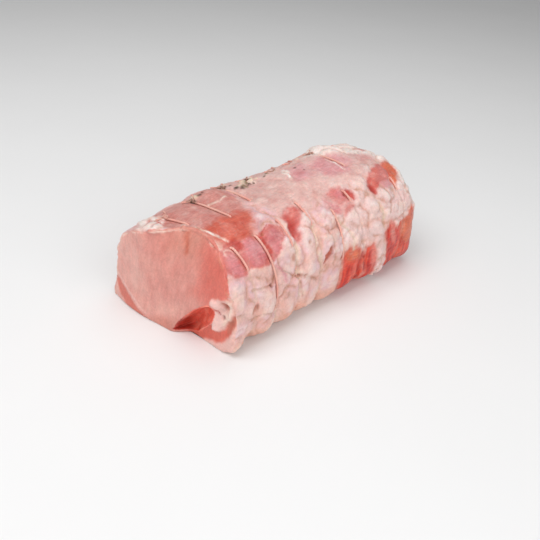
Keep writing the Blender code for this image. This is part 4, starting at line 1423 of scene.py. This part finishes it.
def evenly(path, steps, closed):
    """A path's points spread evenly along its length."""
    ring = np.concatenate([path, path[:1]]) if closed else path
    runs = np.concatenate([[0.0], np.cumsum(gaps_along(ring))])
    at = np.linspace(0.0, runs[-1], steps, endpoint=not closed)
    return np.stack([np.interp(at, runs, column) for column in ring.T], axis=1)


# %% Twisted tubes
def tube(path, side_way, radius, closed):
    """Points and faces of a tube round a path, with one known side direction."""
    if closed:
        run = unit(np.roll(path, -1, axis=0) - np.roll(path, 1, axis=0))
    else:
        run = unit(np.gradient(path, axis=0))
    first = unit(side_way - (side_way * run).sum(axis=1)[:, None] * run)
    second = np.cross(run, first)
    turn = np.linspace(0.0, 2.0 * pi, PLY_SIDES, endpoint=False)[:, None]
    ring = first[:, None] * np.cos(turn) + second[:, None] * np.sin(turn)
    places = (path[:, None] + ring * radius).reshape(-1, 3)
    numbers = np.arange(len(places)).reshape(-1, PLY_SIDES)
    if closed:
        return places, ring_faces(np.vstack([numbers, numbers[:1]]))
    return places, ring_faces(numbers) + numbers[[0, -1]].tolist()


def joined(parts):
    """One list of places and one of faces from those of several parts."""
    places, faces, first = [], [], 0
    for part, part_faces in parts:
        places.append(part)
        faces += [[first + corner for corner in face] for face in part_faces]
        first += len(part)
    return np.concatenate(places), faces


def twisted(path, side_way, closed, thickness=1.0):
    """Three plies that wind round a path."""
    twists = max(1, round(gaps_along(path).sum() / TWIST_LENGTH))
    across = np.cross(unit(np.gradient(path, axis=0)), side_way)
    share = np.arange(len(path)) / (len(path) if closed else len(path) - 1)
    plies = []
    for ply in range(3):
        turn = 2.0 * pi * (twists * share + ply / 3.0)[:, None]
        core = path + (side_way * np.cos(turn) + across * np.sin(turn)) * PLY_OFFSET * thickness
        plies.append(tube(core, side_way, PLY_RADIUS * thickness, closed))
    return joined(plies)


# %% [markdown]
# The knot of each tie sits on the top's left half, with two short cut tails. It is a
# small overhand bend, so a trefoil curve, flattened onto the meat, makes it. The knots
# took up grey-brown juice, which the finish shows as a stain.

# %% Knots and tails
# degrees round the section for each tie; a knot's half sizes; and each tie's two tails, in mm
KNOT_ANGLES = (116.0, 119.0, 120.0, 117.0, 116.0, 116.0, 116.0, 116.0)
KNOT_HALF = (1.7, 2.3, 0.495)
KNOT_LIFT = 1.9
TAIL_LENGTHS = ((4, 5), (5, 6), (5, 6), (5, 5), (4, 5), (5, 4), (4, 6), (4, 5))
TAIL_LIFT = 0.55
TAIL_ARCH = 0.35        # further lift of a tail's middle
TREFOIL_STEPS = 90


def trefoil(place, outward):
    """A trefoil curve laid flat on the meat."""
    turn = np.linspace(0.0, 2.0 * pi, TREFOIL_STEPS, endpoint=False)[:, None]
    along = (np.sin(turn) + 2.0 * np.sin(2.0 * turn)) / 3.0
    round_way = (np.cos(turn) - 2.0 * np.cos(2.0 * turn)) / 3.0
    up = -np.sin(3.0 * turn)
    axis = np.array((1.0, 0.0, 0.0))
    sideways = np.cross(outward, axis)
    return (place + axis * along * KNOT_HALF[0] + sideways * round_way * KNOT_HALF[1]
            + outward * up * KNOT_HALF[2])


def tail_path(number, side, length, place):
    """A cut end of twine from the knot out over the swollen meat."""
    angle = radians(KNOT_ANGLES[number])
    span = number + 1 if side > 0 else number
    start, end = [float(edge[0]) for edge in span_ends(span, np.full(1, angle))]
    path = [place]
    for step in (0.2, 0.45, 0.72, 1.0):
        bend = np.full(1, angle + side * 0.05 * step + 0.10 * step**2)
        fraction = np.clip(length * step / (end - start), 0.05, 0.95)
        fraction = fraction if side > 0 else 1.0 - fraction
        x = np.full(1, start + (end - start) * fraction)
        y, z = skin(x, bend, span_swell(span, np.full(1, fraction)))
        out = np.array((0.0, -cos(bend[0]), sin(bend[0])))
        lift = TAIL_LIFT + TAIL_ARCH * sin(pi * step)
        path.append(np.array((x[0], y[0], z[0])) + out * lift)
    return evenly(smooth_path(np.array(path)), max(8, int(length * 2.2)), False)


def smooth_path(path):
    """A smooth curve through a few points, by Catmull-Rom segments."""
    padded = np.concatenate([2 * path[:1] - path[1:2], path, 2 * path[-1:] - path[-2:-1]])
    pieces = []
    for i in range(1, len(padded) - 2):
        a, b, c, d = padded[i - 1:i + 3]
        t = np.linspace(0.0, 1.0, 8, endpoint=False)[:, None]
        pieces.append(0.5 * (2 * b + (c - a) * t + (2 * a - 5 * b + 4 * c - d) * t**2
                             + (3 * b - a - 3 * c + d) * t**3))
    return np.concatenate(pieces + [path[-1:]])


# %% Finish of the twine
def build_twine():
    """The twine's finish, from its painted stain."""
    material, wiring, shader = new_material("Soaked twine")
    weave = wiring.group(MOTTLE, Scale=1500.0, Strength=0.12)
    broad = wiring.group(MOTTLE, Scale=130.0, Strength=0.08)
    soaked = wiring.group(GRAIN, Scale=70.0)
    ground = wiring.mix('MIX', soaked, (0.80, 0.35, 0.29, 1.0), (0.86, 0.54, 0.45, 1.0))
    wet = wiring.shade(ground, wiring.math('MULTIPLY', weave, broad))
    share = wiring.math('MULTIPLY', wiring.layer("stain"), wiring.group(GRAIN, Scale=900.0))
    wiring.feed(shader, {
        "Base Color": wiring.mix('MIX', share, wet, (0.13, 0.085, 0.05, 1.0)),
        "Roughness": 0.75,
        "Normal": wiring.bump(0.5, 0.0002, weave),
    })
    return material


twine_finish = build_twine()

# %% Make the eight ties
KNOT_STAINS = (0.3, 1.1, 1.3, 1.5, 0.9, 0.7, 0.9, 0.5)
STAIN_REACH = 4.0
KNOT_THICKNESS = 0.75
TAIL_THICKNESS = 0.78


def build_tie(number):
    """One tie: twisted ring, knot and two tails."""
    floor, outward = groove_floor(number, around)
    sunk = SINK * (1.0 - shows(number, np.degrees(around)))
    centre = floor + outward * (TWINE_RADIUS + TWINE_LIFT - GROOVE_FLOOR - sunk)[:, None]
    centre[:, 2] = np.maximum(centre[:, 2], TWINE_RADIUS + TWINE_CLEARANCE)
    steps = round(gaps_along(centre).sum() / TWIST_LENGTH) * STEPS_PER_TWIST
    path = evenly(centre, steps, True)
    nearest = [int(np.argmin(np.linalg.norm(centre - place, axis=1))) for place in path]
    parts = [twisted(path, outward[nearest], True)]
    knot_at = int(np.argmin(np.abs(angle_between(around, KNOT_ANGLES[number]))))
    out_way = outward[knot_at]
    place = centre[knot_at] + out_way * (KNOT_LIFT - TWINE_RADIUS)
    parts.append(twisted(trefoil(place, out_way), out_way, True, KNOT_THICKNESS))
    for side, length in zip((-1, 1), TAIL_LENGTHS[number]):
        tail = tail_path(number, side, length, place)
        parts.append(twisted(tail, out_way, False, TAIL_THICKNESS))
    places, faces = joined(parts)
    places[:, 2] = np.maximum(places[:, 2], 0.02)
    tie = make_object(f"tie_{number + 1}", places, faces)
    close_and_orient(tie.data)
    tie.data.shade_smooth()
    gap = np.linalg.norm(places - place, axis=1)
    write_layer(tie.data, "stain", KNOT_STAINS[number] * smooth_step(1.7 - gap / STAIN_REACH))
    tie.data.materials.append(twine_finish)
    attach(tie, "root")
    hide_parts(f"twine_{number + 1}")
    return tie


ties = [build_tie(number) for number in range(len(TIES))]
print(len(ties), "ties of", len(ties[0].data.polygons), "faces each")

# %% [markdown]
# ## Studio
#
# The roast lies on a plain pale floor under soft light from all round, with one large
# key light over the camera's left and a gentle fill from its right.

# %% Floor, lights and world
FLOOR_SIZE = 4.0
LIGHT_TARGET = Vector((0.0, 0.0, 0.03))
# name, place in metres, size in metres, power in watts
LIGHTS = (
    ("Key", (-0.55, 0.1, 0.95), 0.7, 5.7),
    ("Front", (-0.75, -0.6, 0.35), 0.6, 1.5),
    ("Fill", (-0.1, -0.9, 0.6), 0.8, 3.4),
    ("Top", (0.3, 0.1, 1.1), 0.8, 2.4),
)

bpy.ops.mesh.primitive_plane_add(size=FLOOR_SIZE, location=(0.0, 0.0, -0.0002))
floor = bpy.context.object
floor.name = "floor"
floor_finish, wiring, shader = new_material("Pale floor")
tone = wiring.group(MOTTLE, Scale=6.0, Strength=0.01)
wiring.feed(shader, {"Base Color": wiring.shade((0.86, 0.86, 0.86, 1.0), tone),
                     "Roughness": 0.7})
floor.data.materials.append(floor_finish)

for name, place, size, power in LIGHTS:
    light = bpy.data.lights.new(name, 'AREA')
    light.size = size
    light.energy = power
    lamp = bpy.data.objects.new(name, light)
    aim = (LIGHT_TARGET - Vector(place)).to_track_quat('-Z', 'Y')
    lamp.matrix_world = Matrix.Translation(place) @ aim.to_matrix().to_4x4()
    bpy.context.scene.collection.objects.link(lamp)
world = bpy.data.worlds.new("Studio")
world.use_nodes = True
background = world.node_tree.nodes["Background"].inputs
background["Color"].default_value = (1.0, 1.0, 1.0, 1.0)
background["Strength"].default_value = 0.33
bpy.context.scene.world = world
bpy.context.scene.view_settings.view_transform = 'Standard'
print(len(LIGHTS), "lights and a floor", FLOOR_SIZE, "m wide")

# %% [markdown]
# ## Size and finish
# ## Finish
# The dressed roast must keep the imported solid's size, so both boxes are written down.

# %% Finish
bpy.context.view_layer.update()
